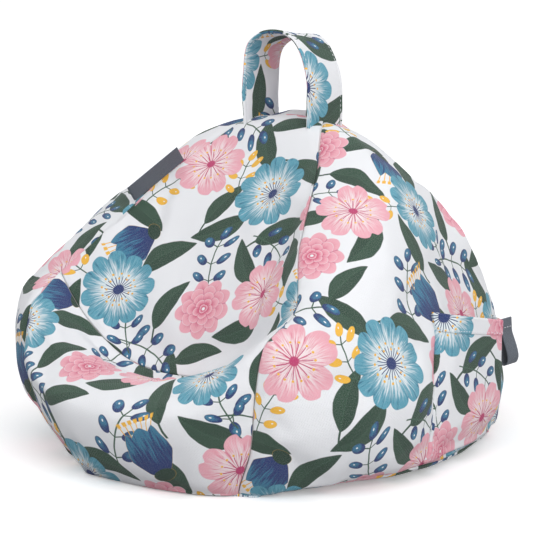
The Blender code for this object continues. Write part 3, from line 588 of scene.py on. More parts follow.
def cover_points():
    """The bag's surface with its softness: swelled, folded, lumped and puckered, then seated."""
    points, strip_ids, side_ids = bag_surface()
    quads = bag_quads(strip_ids, side_ids)
    seam_far, _ = nearest(points, points[np.unique(np.concatenate(seam_rows(strip_ids)))])
    x, y, z = points.T
    slot = slot_share(y, z) * (x > SLOT_SIDE_X)
    at_zip = by_zip(points, *ZIP_HOLD) * (y > ZIP_SIDE_Y)
    by_seam = np.exp(-(seam_far / SEAM_HOLD) ** 2)
    held = np.maximum.reduce([by_seam, smoothstep(z, *FLOOR_HOLD), slot, smoothstep(z, *TOP_HOLD), at_zip])
    soft = swelled(points, quads, np.clip(held, 0, 1))
    normals = point_normals(soft, quads)
    free = 1 - np.maximum(slot, smoothstep(z, *FLOOR_CALM))
    move = folded(points) + seam_work(points, strip_ids)
    for row in COVER_LUMPS:
        move += lumps(points, *row) * free
    soft = seated(soft + normals * move[:, None])
    soft = grounded(soft, [side_ids[sign][0, end] for sign in (1, -1) for end in (0, -1)])
    return soft, quads, strip_ids, side_ids, seam_far


# the flat cut of each panel


def turned(flat, angle):
    """A flat cut turned on itself."""
    c, s = math.cos(angle), math.sin(angle)
    return np.stack([flat[..., 0] * c - flat[..., 1] * s, flat[..., 0] * s + flat[..., 1] * c], -1)


def area_of(grid):
    """The area of a grid of points, flat or in space."""
    a, b, c, d = grid[:-1, :-1], grid[:-1, 1:], grid[1:, 1:], grid[1:, :-1]
    cross = np.cross(c - a, d - b)
    return float((np.abs(cross) if cross.ndim == 2 else np.linalg.norm(cross, axis=-1)).sum() / 2)


def laid_flat(grid):
    """The panel's flat cut in metres: Blender's unwrap, scaled to the fabric's area and turned so that its rows run
    across."""
    rows, columns = grid.shape[:2]
    obj = linked("flat", grid, cells(rows, columns), np.zeros((rows * columns, 2)))
    bpy.context.view_layer.objects.active = obj
    obj.select_set(True)
    bpy.ops.object.mode_set(mode="EDIT")
    bpy.ops.mesh.select_all(action="SELECT")
    bpy.ops.uv.unwrap(method="ANGLE_BASED", margin=0.0)
    bpy.ops.object.mode_set(mode="OBJECT")
    corner = corner_points(obj.data)
    uv = np.zeros(len(corner) * 2)
    obj.data.uv_layers["cloth"].data.foreach_get("uv", uv)
    flat = np.zeros((rows * columns, 2))
    flat[corner] = uv.reshape(-1, 2)
    remove(obj)
    flat = flat.reshape(rows, columns, 2)
    flat = (flat - flat.mean((0, 1))) * math.sqrt(area_of(grid) / area_of(flat))
    across = flat[:, -1] - flat[:, 0]
    return turned(flat, -math.atan2(across[:, 1].sum(), across[:, 0].sum()))


def drawn_in(grid, amount):
    """The grid with its four edges moved inwards along the fabric."""
    out = grid.copy()
    for edge, beside in ((0, 1), (-1, -2)):
        out[edge] += unit(grid[beside] - grid[edge]) * amount
        out[:, edge] += unit(grid[:, beside] - grid[:, edge]) * amount
    return out


def rolled(grid, normals, flat):
    """The grid with one more ring, turned inwards at the seam, and the flat cut with its seam allowance."""
    wide = ((1, 1), (1, 1), (0, 0))
    ring = np.ones((grid.shape[0] + 2, grid.shape[1] + 2, 1))
    ring[1:-1, 1:-1] = 0
    inwards = np.pad(normals, wide, mode="edge") * SEAM_ROLL * ring
    out = above_floor(np.pad(drawn_in(grid, SEAM_GAP / 2), wide, mode="edge") - inwards)
    cut = np.pad(flat, wide, mode="edge")
    cut += ring * np.pad(drawn_in(flat, -SEAM_ROLL) - flat, wide, mode="edge")
    return out, cut


def cover_panel(name, node, points, normals, ids, finish, turn=0.0):
    """One panel of the cover, from its part of the bag's grid."""
    cut = turned(laid_flat(points[ids]), turn)
    out, allowance = rolled(points[ids], normals[ids], cut)
    obj = piece(name, out, cells(*out.shape[:2]), finish, allowance)
    thickened(smoothed(obj), COVER_THICK, -1.0)
    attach(obj, "bag")
    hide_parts(node)
    extent(cut)
    area_of(cut)


# materials: small words for joining nodes


def linear(code):
    """A hex colour as the linear values that a shader takes."""
    parts = [int(code[k:k + 2], 16) / 255 for k in (0, 2, 4)]
    return tuple(c / 12.92 if c <= 0.04045 else ((c + 0.055) / 1.055) ** 2.4 for c in parts) + (1.0,)


class Value:
    """A number that nodes work out. Arithmetic on it adds math nodes to the same tree."""

    def __init__(self, net, socket):
        self.net, self.socket = net, socket

    def __add__(self, other):
        return self.net.math("ADD", self, other)

    def __sub__(self, other):
        return self.net.math("SUBTRACT", self, other)

    def __rsub__(self, other):
        return self.net.math("SUBTRACT", other, self)

    def __mul__(self, other):
        return self.net.math("MULTIPLY", self, other)

    def __truediv__(self, other):
        return self.net.math("DIVIDE", self, other)

    def __rtruediv__(self, other):
        return self.net.math("DIVIDE", other, self)

    def __pow__(self, power):
        return self.net.math("POWER", self, power)

    def __abs__(self):
        return self.net.math("ABSOLUTE", self)

    __radd__, __rmul__ = __add__, __mul__


class Net:
    """Adds nodes to one tree. Each word returns the value that its node puts out."""

    def __init__(self, tree):
        self.tree = tree

    def feed(self, socket, value):
        """Links a value, or writes a plain one, into an input."""
        if isinstance(value, Value):
            self.tree.links.new(value.socket, socket)
        else:
            socket.default_value = value

    def node(self, kind, inputs=(), **settings):
        made = self.tree.nodes.new(kind)
        for key, value in settings.items():
            setattr(made, key, value)
        for key, value in dict(inputs).items():
            self.feed(made.inputs[key], value)
        return made

    def value(self, kind, inputs=(), out=0, **settings):
        return Value(self, self.node(kind, inputs, **settings).outputs[out])

    def math(self, operation, *values, clamp=False):
        return self.value("ShaderNodeMath", dict(enumerate(values)), operation=operation, use_clamp=clamp)

    def vector(self, operation, *values):
        out = "Value" if operation in ("LENGTH", "DISTANCE") else "Vector"
        return self.value("ShaderNodeVectorMath", dict(enumerate(values)), out, operation=operation)

    def scaled(self, vector, factor):
        return self.value("ShaderNodeVectorMath", {0: vector, "Scale": factor}, operation="SCALE")

    def ramp(self, value, low, high):
        """0 up to low, 1 from high on, and smooth in between. High may be the lesser."""
        inputs = {"Value": value, "From Min": low, "From Max": high}
        return self.value("ShaderNodeMapRange", inputs, interpolation_type="SMOOTHSTEP")

    def most(self, first, *others):
        """The greatest of the values."""
        for other in others:
            first = self.math("MAXIMUM", first, other)
        return first

    def mix(self, share, a, b, kind="RGBA"):
        """A where the share is 0, b where it is 1."""
        first, out = {"FLOAT": (2, 0), "VECTOR": (4, 1), "RGBA": (6, 2)}[kind]
        return self.value("ShaderNodeMix", {0: share, first: a, first + 1: b}, out, data_type=kind)

    def laid(self, colour, *layers):
        """The colour with each layer's own colour over it, as far as the layer's mask says."""
        for mask, over in layers:
            colour = self.mix(mask, colour, over)
        return colour

    def split(self, vector):
        return [Value(self, out) for out in self.node("ShaderNodeSeparateXYZ", {0: vector}).outputs]

    def join(self, x, y, z=0.0):
        return self.value("ShaderNodeCombineXYZ", {0: x, 1: y, 2: z})

    def noise(self, vector, scale, detail=2.0, rough=0.5, out="Fac"):
        inputs = {"Vector": vector, "Scale": scale, "Detail": detail, "Roughness": rough}
        return self.value("ShaderNodeTexNoise", inputs, out)

    def space(self):
        """The place in the object's own space."""
        return self.value("ShaderNodeTexCoord", out="Object")

    def cloth(self):
        """The place on the flat cloth, in metres."""
        return self.value("ShaderNodeUVMap", uv_map="cloth")

    def use(self, group, inputs):
        """Places a node group and returns its values by name."""
        made = self.node("ShaderNodeGroup", inputs, node_tree=group)
        return {out.name: Value(self, out) for out in made.outputs}


def effect(name, inputs, outputs, build):
    """A node group. Inputs are (name, type, value), outputs (name, type); build(net, inputs) returns the outputs."""
    tree = bpy.data.node_groups.new(name, "ShaderNodeTree")
    for label, kind, value in inputs:
        socket = tree.interface.new_socket(label, in_out="INPUT", socket_type="NodeSocket" + kind)
        if value is not None:
            socket.default_value = value
    for label, kind in outputs:
        tree.interface.new_socket(label, in_out="OUTPUT", socket_type="NodeSocket" + kind)
    net = Net(tree)
    given = {out.name: Value(net, out) for out in tree.nodes.new("NodeGroupInput").outputs}
    result = tree.nodes.new("NodeGroupOutput")
    for label, value in build(net, given).items():
        net.feed(result.inputs[label], value)
    return tree


GROUPS = {}


def shared(name, make):
    """A node group or a finish that is made once."""
    if name not in GROUPS:
        GROUPS[name] = make()
    return GROUPS[name]


# motifs of the print: each takes a place about its own middle, where the motif reaches about 1

SOFT = 0.025


def polar(net, place):
    """Radius, turns round the middle (0 to 1), and a noise that runs in streaks outwards."""
    x, y, _ = net.split(place)
    radius = net.vector("LENGTH", place)
    turns = net.math("ARCTAN2", y, x) / (2 * math.pi) + 0.5
    out_x, out_y, _ = net.split(net.vector("NORMALIZE", place))
    return radius, turns, net.noise(net.join(out_x, out_y, radius * 0.16), 17.0, 2.0, 0.6)


def comb(net, at):
    """0 at the middle of each whole step of a value, 1 where two steps meet."""
    return abs(2 * net.math("FRACT", at) - 1)


def lobes(net, turns, count, shift=0.0):
    """0 at the middle of each of count equal parts of a turn, 1 where two meet."""
    return comb(net, turns * count + shift)


def dots(net, radius, turns, count, far, size, shift=0.0):
    """A ring of round dots at a radius."""
    across = lobes(net, turns, count, shift) * (math.pi * far / count)
    away = radius - far
    return net.ramp(net.math("SQRT", across * across + away * away), size, size * 0.75)


def rays(net, radius, turns, count, near, far, width):
    """Thin lines from the middle outwards between two radii."""
    line = net.ramp(lobes(net, turns, count) * radius * (math.pi / count), width, width * 0.5)
    return line * net.ramp(radius, far, far - 0.02) * net.ramp(radius, near, near + 0.02)


def daisy(net, g):
    """Rounded petals side by side: radius below 1 less a power of the distance from each petal's middle."""
    r, turns, streaks = polar(net, g["Place"])
    f = lobes(net, turns, 11)
    edge = 1 - 0.17 * f**3 - 0.05 * lobes(net, turns, 3, 0.3)
    colour = net.laid(
        net.mix(net.ramp(r + 1.3 * streaks - 0.65, 0.28, 0.78), g["Inner"], g["Outer"]),
        (net.ramp(streaks, 0.52, 0.72) * net.ramp(r, 0.5, 0.9), g["Streak"]),
        (0.55 * net.ramp(f, 0.80, 1.0) * net.ramp(r, 0.45, 0.9), g["Streak"]),
        (rays(net, r, turns, 23, 0.10, 0.36, 0.013), g["Heart"]),
        (dots(net, r, turns, 13, 0.42, 0.032), g["Anther"]),
        (dots(net, r, turns, 9, 0.30, 0.030, 0.4), g["Anther"]),
        (net.ramp(r, 0.15, 0.12), g["Heart"]),
    )
    return {"Color": colour, "Mask": net.ramp(edge - r, 0.0, SOFT)}


def dahlia(net, g):
    """Rings of petals with blunt points, each ring over the last: radius below the ring's size less a share of the
    lobes."""
    r, turns, streaks = polar(net, g["Place"])
    colour, mask = g["Outer"], None
    for size, count, shift in ((1.0, 9, 0.0), (0.78, 8, 0.35), (0.56, 7, 0.1), (0.35, 5, 0.6), (0.16, 3, 0.2)):
        f = lobes(net, turns, count, shift)
        edge = size - 0.20 * size * f**1.8
        ring = net.ramp(edge - r, 0.0, 0.022)
        tone = net.laid(
            net.mix(net.ramp(r / edge + 0.30 * streaks, 0.62, 1.06), g["Inner"], g["Outer"]),
            (0.75 * net.ramp(edge - r, 0.035, 0.012), g["Anther"]),
            (0.6 * net.ramp(f, 0.86, 1.0), g["Streak"]),
        )
        colour = tone if mask is None else net.mix(ring, colour, tone)
        mask = ring if mask is None else mask
    return {"Color": net.mix(net.ramp(r, 0.07, 0.04), colour, g["Heart"]), "Mask": mask}


def blossom(net, g):
    """Five broad notched petals: the edge is highest beside each petal's middle, where it has a notch."""
    r, turns, streaks = polar(net, g["Place"])
    f = lobes(net, turns, 5)
    edge = 1 - 0.34 * f**4 - 0.10 * net.ramp(f, 0.22, 0.0)
    colour = net.laid(
        net.mix(net.ramp(1.1 * streaks + r, 0.85, 1.45), g["Inner"], g["Outer"]),
        (net.ramp(streaks, 0.50, 0.70) * net.ramp(r, 0.95, 0.30), g["Streak"]),
        (0.7 * net.ramp(f, 0.90, 1.0), g["Streak"]),
        (rays(net, r, turns, 15, 0.10, 0.44, 0.014), g["Heart"]),
        (dots(net, r, turns, 15, 0.47, 0.034), g["Anther"]),
        (net.ramp(r, 0.14, 0.10), g["Heart"]),
    )
    return {"Color": colour, "Mask": net.ramp(edge - r, 0.0, SOFT)}


def cup(net, g):
    """A bell seen from its side: an oval whose open end is scalloped, with three petals and stamens."""
    x, y, _ = net.split(g["Place"])
    wide = 0.66 - 0.45 * abs(0.9 * y + 0.25) ** 2
    scallop = 0.42 + 0.16 * abs(net.math("COSINE", x * 6.2))
    body = net.ramp(wide - abs(x), 0.0, 0.03) * net.ramp(scallop - y, 0.0, 0.03)
    body = body * net.ramp(y + 0.82 - 1.5 * x * x, 0.0, 0.03)
    streaks = net.noise(net.join(x, y * 0.10), 16.0, 2.0, 0.6)
    tone = net.mix(net.ramp(1.5 * streaks + 0.55 * y - 0.45, 0.1, 0.55), g["Inner"], g["Outer"])
    tone = net.mix(0.8 * net.ramp(abs(abs(x) - 0.16 * y - 0.24), 0.045, 0.012), tone, g["Streak"])
    fan = x / (y + 0.55)
    step = comb(net, fan * 8)
    near = net.ramp(abs(fan), 0.42, 0.38)
    stems = net.ramp(step, 0.72, 0.9) * near * net.ramp(y, 0.30, 0.34) * net.ramp(y, 0.76, 0.74)
    heads = net.ramp(step, 0.25, 0.45) * near * net.ramp(abs(y - 0.76), 0.07, 0.04)
    cap = net.vector("MULTIPLY", net.vector("ADD", g["Place"], (0.0, 0.80, 0.0)), (0.9, 1.4, 0.0))
    cap = net.ramp(0.30 - net.vector("LENGTH", cap), 0.0, 0.03)
    colour = net.mix(cap, net.mix(body, g["Anther"], tone), g["Heart"])
    return {"Color": colour, "Mask": net.most(body, stems, heads, cap)}


def leaf(net, g):
    """A pointed oval along x: half width falls off as a power of 1 - x squared, on a bent midrib."""
    x, y, _ = net.split(g["Place"])
    bent = 0.16 * x * x + y
    half = net.math("SUBTRACT", 1.0, x * x, clamp=True) ** 0.80 * (0.37 - 0.11 * x)
    blade = net.ramp(half - abs(bent), 0.0, 0.03)
    stem = net.ramp(abs(bent), 0.045, 0.025) * net.ramp(abs(x + 1.15), 0.28, 0.24)
    rib = net.ramp(abs(bent), 0.030, 0.012) * net.ramp(x, 0.82, 0.70)
    shade = 0.20 * net.ramp(bent, -0.02, 0.02) + 0.6 * net.noise(g["Place"], 110.0, 1.0) - 0.06 + 0.30 * rib
    return {"Color": net.mix(shade, g["Inner"], g["Outer"]), "Mask": net.most(blade, stem)}


def sprig(net, g):
    """Pairs of oval buds on short stalks along a bent stem, one more at its end."""
    x, y, _ = net.split(g["Place"])
    bent = 0.22 * x * x + y
    level = abs(bent)
    slanted = x - 0.45 * level
    cell = net.math("WRAP", slanted, 0.29, -0.29)
    inside = net.ramp(abs(slanted - cell), 0.75, 0.65)
    stem = net.ramp(level, 0.030, 0.016) * net.ramp(abs(x), 0.98, 0.94)
    stalk = net.ramp(abs(cell), 0.024, 0.012) * net.ramp(level, 0.30, 0.28) * inside
    bud = net.vector("MULTIPLY", net.join(cell, level - 0.40), (1.0, 0.72, 0.0))
    tip = net.vector("MULTIPLY", net.join(x - 1.06, bent), (0.72, 1.0, 0.0))
    side, end = (net.ramp(net.vector("LENGTH", place), 0.165, 0.148) for place in (bud, tip))
    buds = net.most(side * inside, end)
    glow = net.math("MINIMUM", net.vector("DISTANCE", bud, (0.03, 0.045, 0.0)),
                    net.vector("DISTANCE", tip, (0.04, 0.03, 0.0)))
    shade = net.ramp(0.14 * net.noise(g["Place"], 11.0, 1.0) + glow, 0.24, 0.10)
    colour = net.laid(net.mix(shade, g["Outer"], g["Inner"]), (net.ramp(glow, 0.030, 0.018), g["Anther"]))
    return {"Color": net.mix(buds, g["Heart"], colour), "Mask": net.most(buds, stem, stalk)}


def placed(net, g):
    """A motif's own place: the distance from its centre, wrapped at the repeat, turned back and divided by its size.
    The nearer of this one and the last is kept."""
    away = net.vector("SUBTRACT", g["Cloth"], g["Centre"])
    away = net.vector("WRAP", away, (0.5, 0.5, 0.5), (-0.5, -0.5, -0.5))
    away = net.value("ShaderNodeVectorRotate", {"Vector": away, "Angle": g["Turn"] * -1}, rotation_type="Z_AXIS")
    place = net.scaled(away, 1 / g["Size"])
    nearer = net.math("LESS_THAN", net.vector("LENGTH", place), net.vector("LENGTH", g["Nearest"]))
    return {"Nearest": net.mix(nearer, g["Nearest"], place, "VECTOR")}


TEAL, TEAL_DEEP, CREAM = linear("5FA3B8"), linear("2C6A86"), linear("E6EDF0")
PINK, ROSE, BLUSH, MAGENTA = linear("F0AEBB"), linear("D8607F"), linear("F8E6E8"), linear("C23F70")
NAVY, BLUE, GOLD = linear("2A3B70"), linear("40809F"), linear("F5BC42")
LEAF, LEAF_LIGHT = linear("263F31"), linear("405E4B")
GROUND, WHITE = linear("F0F1F4"), linear("F6F7F8")

# one repeat of the print: motif, its colours, and each one's centre (in repeats), turn in degrees and size (in repeats)
DAISY = dict(Inner=CREAM, Outer=TEAL, Streak=TEAL_DEEP, Heart=NAVY, Anther=GOLD)
DAHLIA = dict(Inner=ROSE, Outer=PINK, Streak=MAGENTA, Heart=WHITE, Anther=WHITE)
BLOSSOM = dict(Inner=BLUSH, Outer=PINK, Streak=ROSE, Heart=MAGENTA, Anther=GOLD)
CUP = dict(Inner=NAVY, Outer=BLUE, Streak=NAVY, Heart=LEAF, Anther=GOLD)
LEAVES = dict(Inner=LEAF, Outer=LEAF_LIGHT)
BERRIES = dict(Inner=BLUE, Outer=NAVY, Heart=LEAF_LIGHT, Anther=WHITE)
BUDS = dict(Inner=GOLD, Outer=GOLD, Heart=LEAF_LIGHT, Anther=WHITE)
REPEAT = 0.175
FAR_OFF = (9.0, 9.0, 0.0)
LAYOUT = (
    (leaf, LEAVES, ((0.335, 0.085, 18, 0.135), (0.055, 0.44, 118, 0.125), (0.60, 0.30, -62, 0.125),
                    (0.83, 0.92, 40, 0.13), (0.30, 0.66, 205, 0.12))),
    (leaf, LEAVES, ((0.345, 0.335, -28, 0.125), (0.74, 0.48, 158, 0.125), (0.02, 0.05, -150, 0.125),
                    (0.50, 0.93, -70, 0.12), (0.93, 0.73, 70, 0.115))),
    (leaf, LEAVES, ((0.67, 0.06, -20, 0.115), (0.20, 0.93, 128, 0.115), (0.14, 0.56, 20, 0.11),
                    (0.53, 0.62, 100, 0.115), (0.98, 0.17, 60, 0.11))),
    (sprig, BERRIES, ((0.40, 0.45, 75, 0.135), (0.90, 0.54, -15, 0.135), (0.05, 0.91, 100, 0.125))),
    (sprig, BERRIES, ((0.78, 0.60, 110, 0.12), (0.31, 0.01, -30, 0.12))),
    (sprig, BUDS, ((0.70, 0.19, 50, 0.105), (0.46, 0.79, 150, 0.10), (0.01, 0.28, 100, 0.10))),
    (cup, CUP, ((0.52, 0.42, 25, 0.135), (0.67, 0.92, 140, 0.125))),
    (blossom, BLOSSOM, ((0.84, 0.33, 12, 0.150), (0.36, 0.82, -25, 0.145))),
    (dahlia, DAHLIA, ((0.53, 0.17, 0, 0.122), (0.10, 0.73, 40, 0.125))),
    (daisy, DAISY, ((0.18, 0.24, 5, 0.162), (0.69, 0.74, 50, 0.158))),
)


def floral_print():
    """The printed pattern: motifs laid over the white ground, the last on top. Cloth is metres along the fabric."""
    motif_inputs = [("Place", "Vector", None)]
    motif_inputs += [(label, "Color", None) for label in ("Inner", "Outer", "Streak", "Heart", "Anther")]
    place_inputs = [("Cloth", "Vector", None), ("Centre", "Vector", None), ("Turn", "Float", 0.0),
                    ("Size", "Float", 1.0), ("Nearest", "Vector", FAR_OFF)]
    place_group = effect("motif_place", place_inputs, [("Nearest", "Vector")], placed)
    groups = {motif: effect("motif_" + motif.__name__, motif_inputs, [("Color", "Color"), ("Mask", "Float")], motif)
              for motif in (leaf, sprig, cup, blossom, dahlia, daisy)}

    def build(net, g):
        cloth = net.scaled(g["Cloth"], 1 / REPEAT)
        wobble = net.vector("SUBTRACT", net.noise(cloth, 14.0, 1.0, 0.5, "Color"), (0.5, 0.5, 0.5))
        x, y, _ = net.split(net.vector("ADD", cloth, net.scaled(wobble, 0.012)))
        cloth, colour = net.join(x, y), GROUND
        for motif, hues, places in LAYOUT:
            nearest = FAR_OFF
            for x, y, turn, size in places:
                given = {"Cloth": cloth, "Centre": (x, y, 0.0), "Turn": math.radians(turn), "Size": size,
                         "Nearest": nearest}
                nearest = net.use(place_group, given)["Nearest"]
            drawn = net.use(groups[motif], {"Place": nearest, **hues})
            colour = net.mix(drawn["Mask"], colour, drawn["Color"])
        return {"Color": colour}

    return effect("floral_print", [("Cloth", "Vector", None)], [("Color", "Color")], build)


# the parts of the bag


def strip_part(strip_ids, first, last):
    """Rows of the strip from one station to another, round the end of the loop."""
    rows = np.arange(station_row(first), (station_row(last) if last < LAST else len(strip_ids)) + 1) % len(strip_ids)
    return strip_ids[rows]


def make_cover(points, quads, strip_ids, side_ids):
    """The six panels, each cut from its own part of the cloth."""
    normals = point_normals(points, quads)
    for name, node, first, last, shift, turn in (
        ("front_lip_cloth", "front_lip_panel", FRONT_FOOT, CREASE, (0.31, 0.62), 0),
        ("rest_face_cloth", "rest_face_panel", CREASE, TOP_FRONT, (0.05, 0.18), 0),
        ("back_cloth", "back_panel", TOP_FRONT, ZIP_STATION, (0.57, 0.33), 180),
        ("base_cloth", "base_panel", ZIP_STATION, LAST, (0.2, 0.9), 0),
    ):
        finish = printed_cotton(name, shift)
        cover_panel(name, node, points, normals, strip_part(strip_ids, first, last), finish, math.radians(turn))
    for name, node, sign, shift in (("right_side_cloth", "right_side_panel", 1, (0.44, 0.27)),
                                    ("left_side_cloth", "left_side_panel", -1, (0.83, 0.51))):
        cover_panel(name, node, points, normals, side_ids[sign], printed_cotton(name, shift))


def make_inside(points, quads, seam_far):
    """The inner bag and the filling: the cover moved inwards, by less beside the seams, and drawn in near the floor."""
    normals = point_normals(points, quads)
    for name, node, depth, finish, slot in (
        ("inner_bag_cloth", "inner_bag", INNER_BAG_DEEP, lining_finish(), "lining"),
        ("bead_fill", "bead_filling", FILLING_DEEP, bead_finish(), "beads"),
    ):
        inside = points - normals * np.minimum(depth, depth * INSIDE_AT_SEAM + INSIDE_SLOPE * seam_far)[:, None]
        inside[:, :2] *= 1 - INSIDE_DRAWN_IN * depth * smoothstep(inside[:, 2:], *INSIDE_LOW)
        inside[:, 2] = np.maximum(inside[:, 2], INSIDE_OVER_FLOOR * depth)
        obj = piece(name, inside, quads, finish)
        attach(obj, "bag")
        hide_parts(node)


# the strap handle


def curve_through(table, count):
    """A smooth open curve through the rows of a table, by the same cubic as the bag's loop, with its ends carried on
    straight. Returns count evenly spaced points and the distance along."""
    rows = np.asarray(table, float)
    ends = np.concatenate([2 * rows[:1] - rows[1:2], rows, 2 * rows[-1:] - rows[-2:-1]])
    fine = loop_at(ends, np.linspace(1, len(rows) - 1e-6, 40 * len(rows)))
    run = distance_along(fine)
    even = np.linspace(0, run[-1], count)
    return np.stack([np.interp(even, run, fine[:, k]) for k in range(fine.shape[1])], -1), even


def strap_frame(count):
    """Middle line of the strap, the direction across it and the direction out of its face, and the distance along. It
    leans back above the hinge."""
    line, run = curve_through(STRAP_LINE, count)
    lean = STRAP_LEAN * smoothstep(line[:, 1], STRAP_LEANS_FROM, STRAP_LEANS_FULL)
    rise = np.maximum(line[:, 1] + STRAP_SHIFT_FROM, 0) * math.sin(STRAP_LEAN)
    middle = np.stack([line[:, 0], HANDLE_Y + rise, HANDLE_HINGE_Z + line[:, 1]], -1)
    across = np.stack([0 * lean, np.cos(lean), -np.sin(lean)], -1)
    return middle, across, unit(np.cross(np.gradient(middle, axis=0), across)), run


def strap_thick(share):
    """Half thickness at a share of the half width: full to the rounded edge, drawn in along each row of stitches."""
    away = np.abs(share)
    thick = STRAP_THICK / 2 * np.sqrt(np.maximum(1 - away**STRAP_EDGE_POWER, 0))
    for change, at, wide in (STRAP_RIM, STRAP_GROOVE):
        thick = thick * (1 + change * np.exp(-((away - at) / wide) ** 2))
    return thick


def make_strap():
    """The strap is a flat tube of cloth: round it runs the section, along it the middle line."""
    half = STRAP_WIDTH / 2
    middle, across, out, run = strap_frame(STRAP_POINTS)
    edge = np.array(STRAP_EDGE_SHARES)
    over = np.concatenate([-edge[::-1], edge[1:]])
    share = np.concatenate([over, over[::-1][1:]])
    high = np.concatenate([np.ones(len(over)), -np.ones(len(over) - 1)])
    grid = middle[:, None] + across[:, None] * (half * share)[:, None]
    grid = grid + out[:, None] * (strap_thick(share) * high)[:, None]
    grid += out[:, None] * lumps(grid, *STRAP_LUMPS)[..., None]
    around = np.where(high > 0, share, 2 - share) * half
    cloth = np.stack(np.broadcast_arrays(around[None, :], run[:, None]), -1)
    quads = cells(STRAP_POINTS, len(share))[:, ::-1]
    strap = piece("handle_cloth", grid, quads, printed_cotton("handle", STRAP_SHIFT), cloth)
    smoothed(strap)
    up = out * float(strap_thick(np.array(STRAP_STITCH_SHARE)))
    rows = [middle + across * half * row for row in (-STRAP_STITCH_SHARE, STRAP_STITCH_SHARE)]
    thread = stitches("handle_stitches", [(row + up * face, out * face) for row in rows for face in (1, -1)])
    for part in (strap, thread):
        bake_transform(part)
    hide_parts("handle_strap", "strap_end_left", "strap_end_right")


# stitches


def stitch_points(line, normals):
    """Stitches along a line, each a rod of rings of points. Its radius and its height over the cloth fall off to
    both ends as powers of the distance from its middle."""
    run = distance_along(line)
    starts = np.arange(STITCH_PITCH / 2, run[-1] - STITCH_LONG, STITCH_PITCH)
    t = np.linspace(-1, 1, STITCH_RINGS)
    at = starts[:, None] + (t + 1) / 2 * STITCH_LONG
    centre = np.stack([np.interp(at, run, line[:, k]) for k in range(3)], -1)
    up = unit(np.stack([np.interp(at, run, normals[:, k]) for k in range(3)], -1))
    side = unit(np.cross(np.gradient(centre, axis=1), up))
    share, power = STITCH_TAPER
    radius = STITCH_THICK / 2 * (1 - share * np.abs(t) ** power)
    high, share, power = STITCH_SINK
    sink = STITCH_THICK * (high - share * np.abs(t) ** power)
    turn = np.arange(STITCH_SIDES) / STITCH_SIDES * 2 * math.pi
    spokes = side[:, :, None] * np.cos(turn)[:, None] + up[:, :, None] * np.sin(turn)[:, None]
    return centre[:, :, None] + up[:, :, None] * sink[:, None, None] + spokes * radius[:, None, None]


def stitches(name, lines):
    """One piece with every stitch of the lines. Each line comes with the cloth's outward direction along it."""
    points = np.concatenate([stitch_points(line, normals).reshape(-1, 3) for line, normals in lines])
    size = STITCH_RINGS * STITCH_SIDES
    ids = np.arange(size).reshape(STITCH_RINGS, STITCH_SIDES)
    rings = quads_of(np.concatenate([ids, ids[:, :1]], 1))[:, [0, 3, 2, 1]]
    first, last = ids[0], ids[-1]
    ends = [first[[0, 1, 2, 3]], first[[0, 3, 4, 5]], last[[3, 2, 1, 0]], last[[5, 4, 3, 0]]]
    one = np.concatenate([rings, ends])
    quads = (one[None] + size * np.arange(len(points) // size)[:, None, None]).reshape(-1, 4)
    return piece(name, points, quads, shared("thread", thread_finish))


# the side pocket


def back_seam(z):
    """How far out and how far back the right-hand back seam stands at a height."""
    seam = seam_line(np.linspace(BACK_SHOULDER, BACK_FOOT, 200))
    order = np.argsort(seam[:, 2])
    return np.interp(z, seam[order, 2], seam[order, 0]), np.interp(z, seam[order, 2], seam[order, 1])


def cast_on(target, points):
    """The points moved straight towards the middle plane until they lie on the target."""
    obj = linked("cast", points, cells(*points.shape[:2]))
    wrap = obj.modifiers.new("cast", "SHRINKWRAP")
    wrap.target = target
    wrap.wrap_method = "PROJECT"
    wrap.use_project_x = True
    wrap.use_project_y = wrap.use_project_z = False
    wrap.use_positive_direction = False
    wrap.use_negative_direction = True
    out = points_of(obj).reshape(points.shape)
    remove(obj)
    return out


def pocket_place(side):
    """The pocket's inner face: the side panel's own face, and over the slot a flat face that is reached by a quarter of
    a sine behind the front edge and above the foot."""
    up = np.linspace(0, 1, POCKET_ROWS)[:, None] ** 0.9
    front_part, rest = np.linspace(0, FRONT_SHARE, FRONT_COLUMNS), POCKET_COLUMNS - FRONT_COLUMNS + 1
    along = np.concatenate([front_part, np.linspace(FRONT_SHARE, 1, rest)[1:]])[None, :]
    hem = POCKET_HEM_FRONT_Z + (POCKET_HEM_BACK_Z - POCKET_HEM_FRONT_Z) * along
    z = POCKET_FOOT_Z + (hem - POCKET_FOOT_Z) * up
    front = POCKET_FRONT_FOOT_Y + (POCKET_FRONT_TOP_Y - POCKET_FRONT_FOOT_Y) * up
    seam_x, seam_y = back_seam(z[:, -1:])
    end_y = seam_y - POCKET_BACK_INSET
    y = front + (end_y - front) * along
    flat = np.stack(np.broadcast_arrays(0.3, y, z), -1)
    x = cast_on(side, flat)[..., 0] + POCKET_GAP
    slot_face = FACE_HALF_WIDTH + SIDE_BULGE + SLOT_PROUD + SLOT_DEEP
    back = np.clip((y - POCKET_TURN_Y) / (end_y - POCKET_TURN_Y), 0, 1)
    face = slot_face - POCKET_EASE + (x[:, -1:] - slot_face) * back
    deep = np.clip((y - SLOT_FRONT_Y) / (SLOT_BACK_Y - SLOT_FRONT_Y), 0, 1)
    rise = (z - POCKET_BOTTOM_Z) / (POCKET_FLARE + POCKET_TUCK * deep)
    full = np.clip((y - front) / POCKET_FLARE, 0, 1) * np.clip(rise, 0, 1)
    grid = np.stack([x + np.maximum(face - x, 0) * np.sin(full * math.pi / 2), y, z], -1)
    grid[..., 0] += lumps(grid, *POCKET_LUMPS) * full
    sewn = np.stack([seam_x - POCKET_SEWN_IN, seam_y - POCKET_SEWN_IN, z[:, -1:]], -1)
    return np.concatenate([grid, sewn], 1)


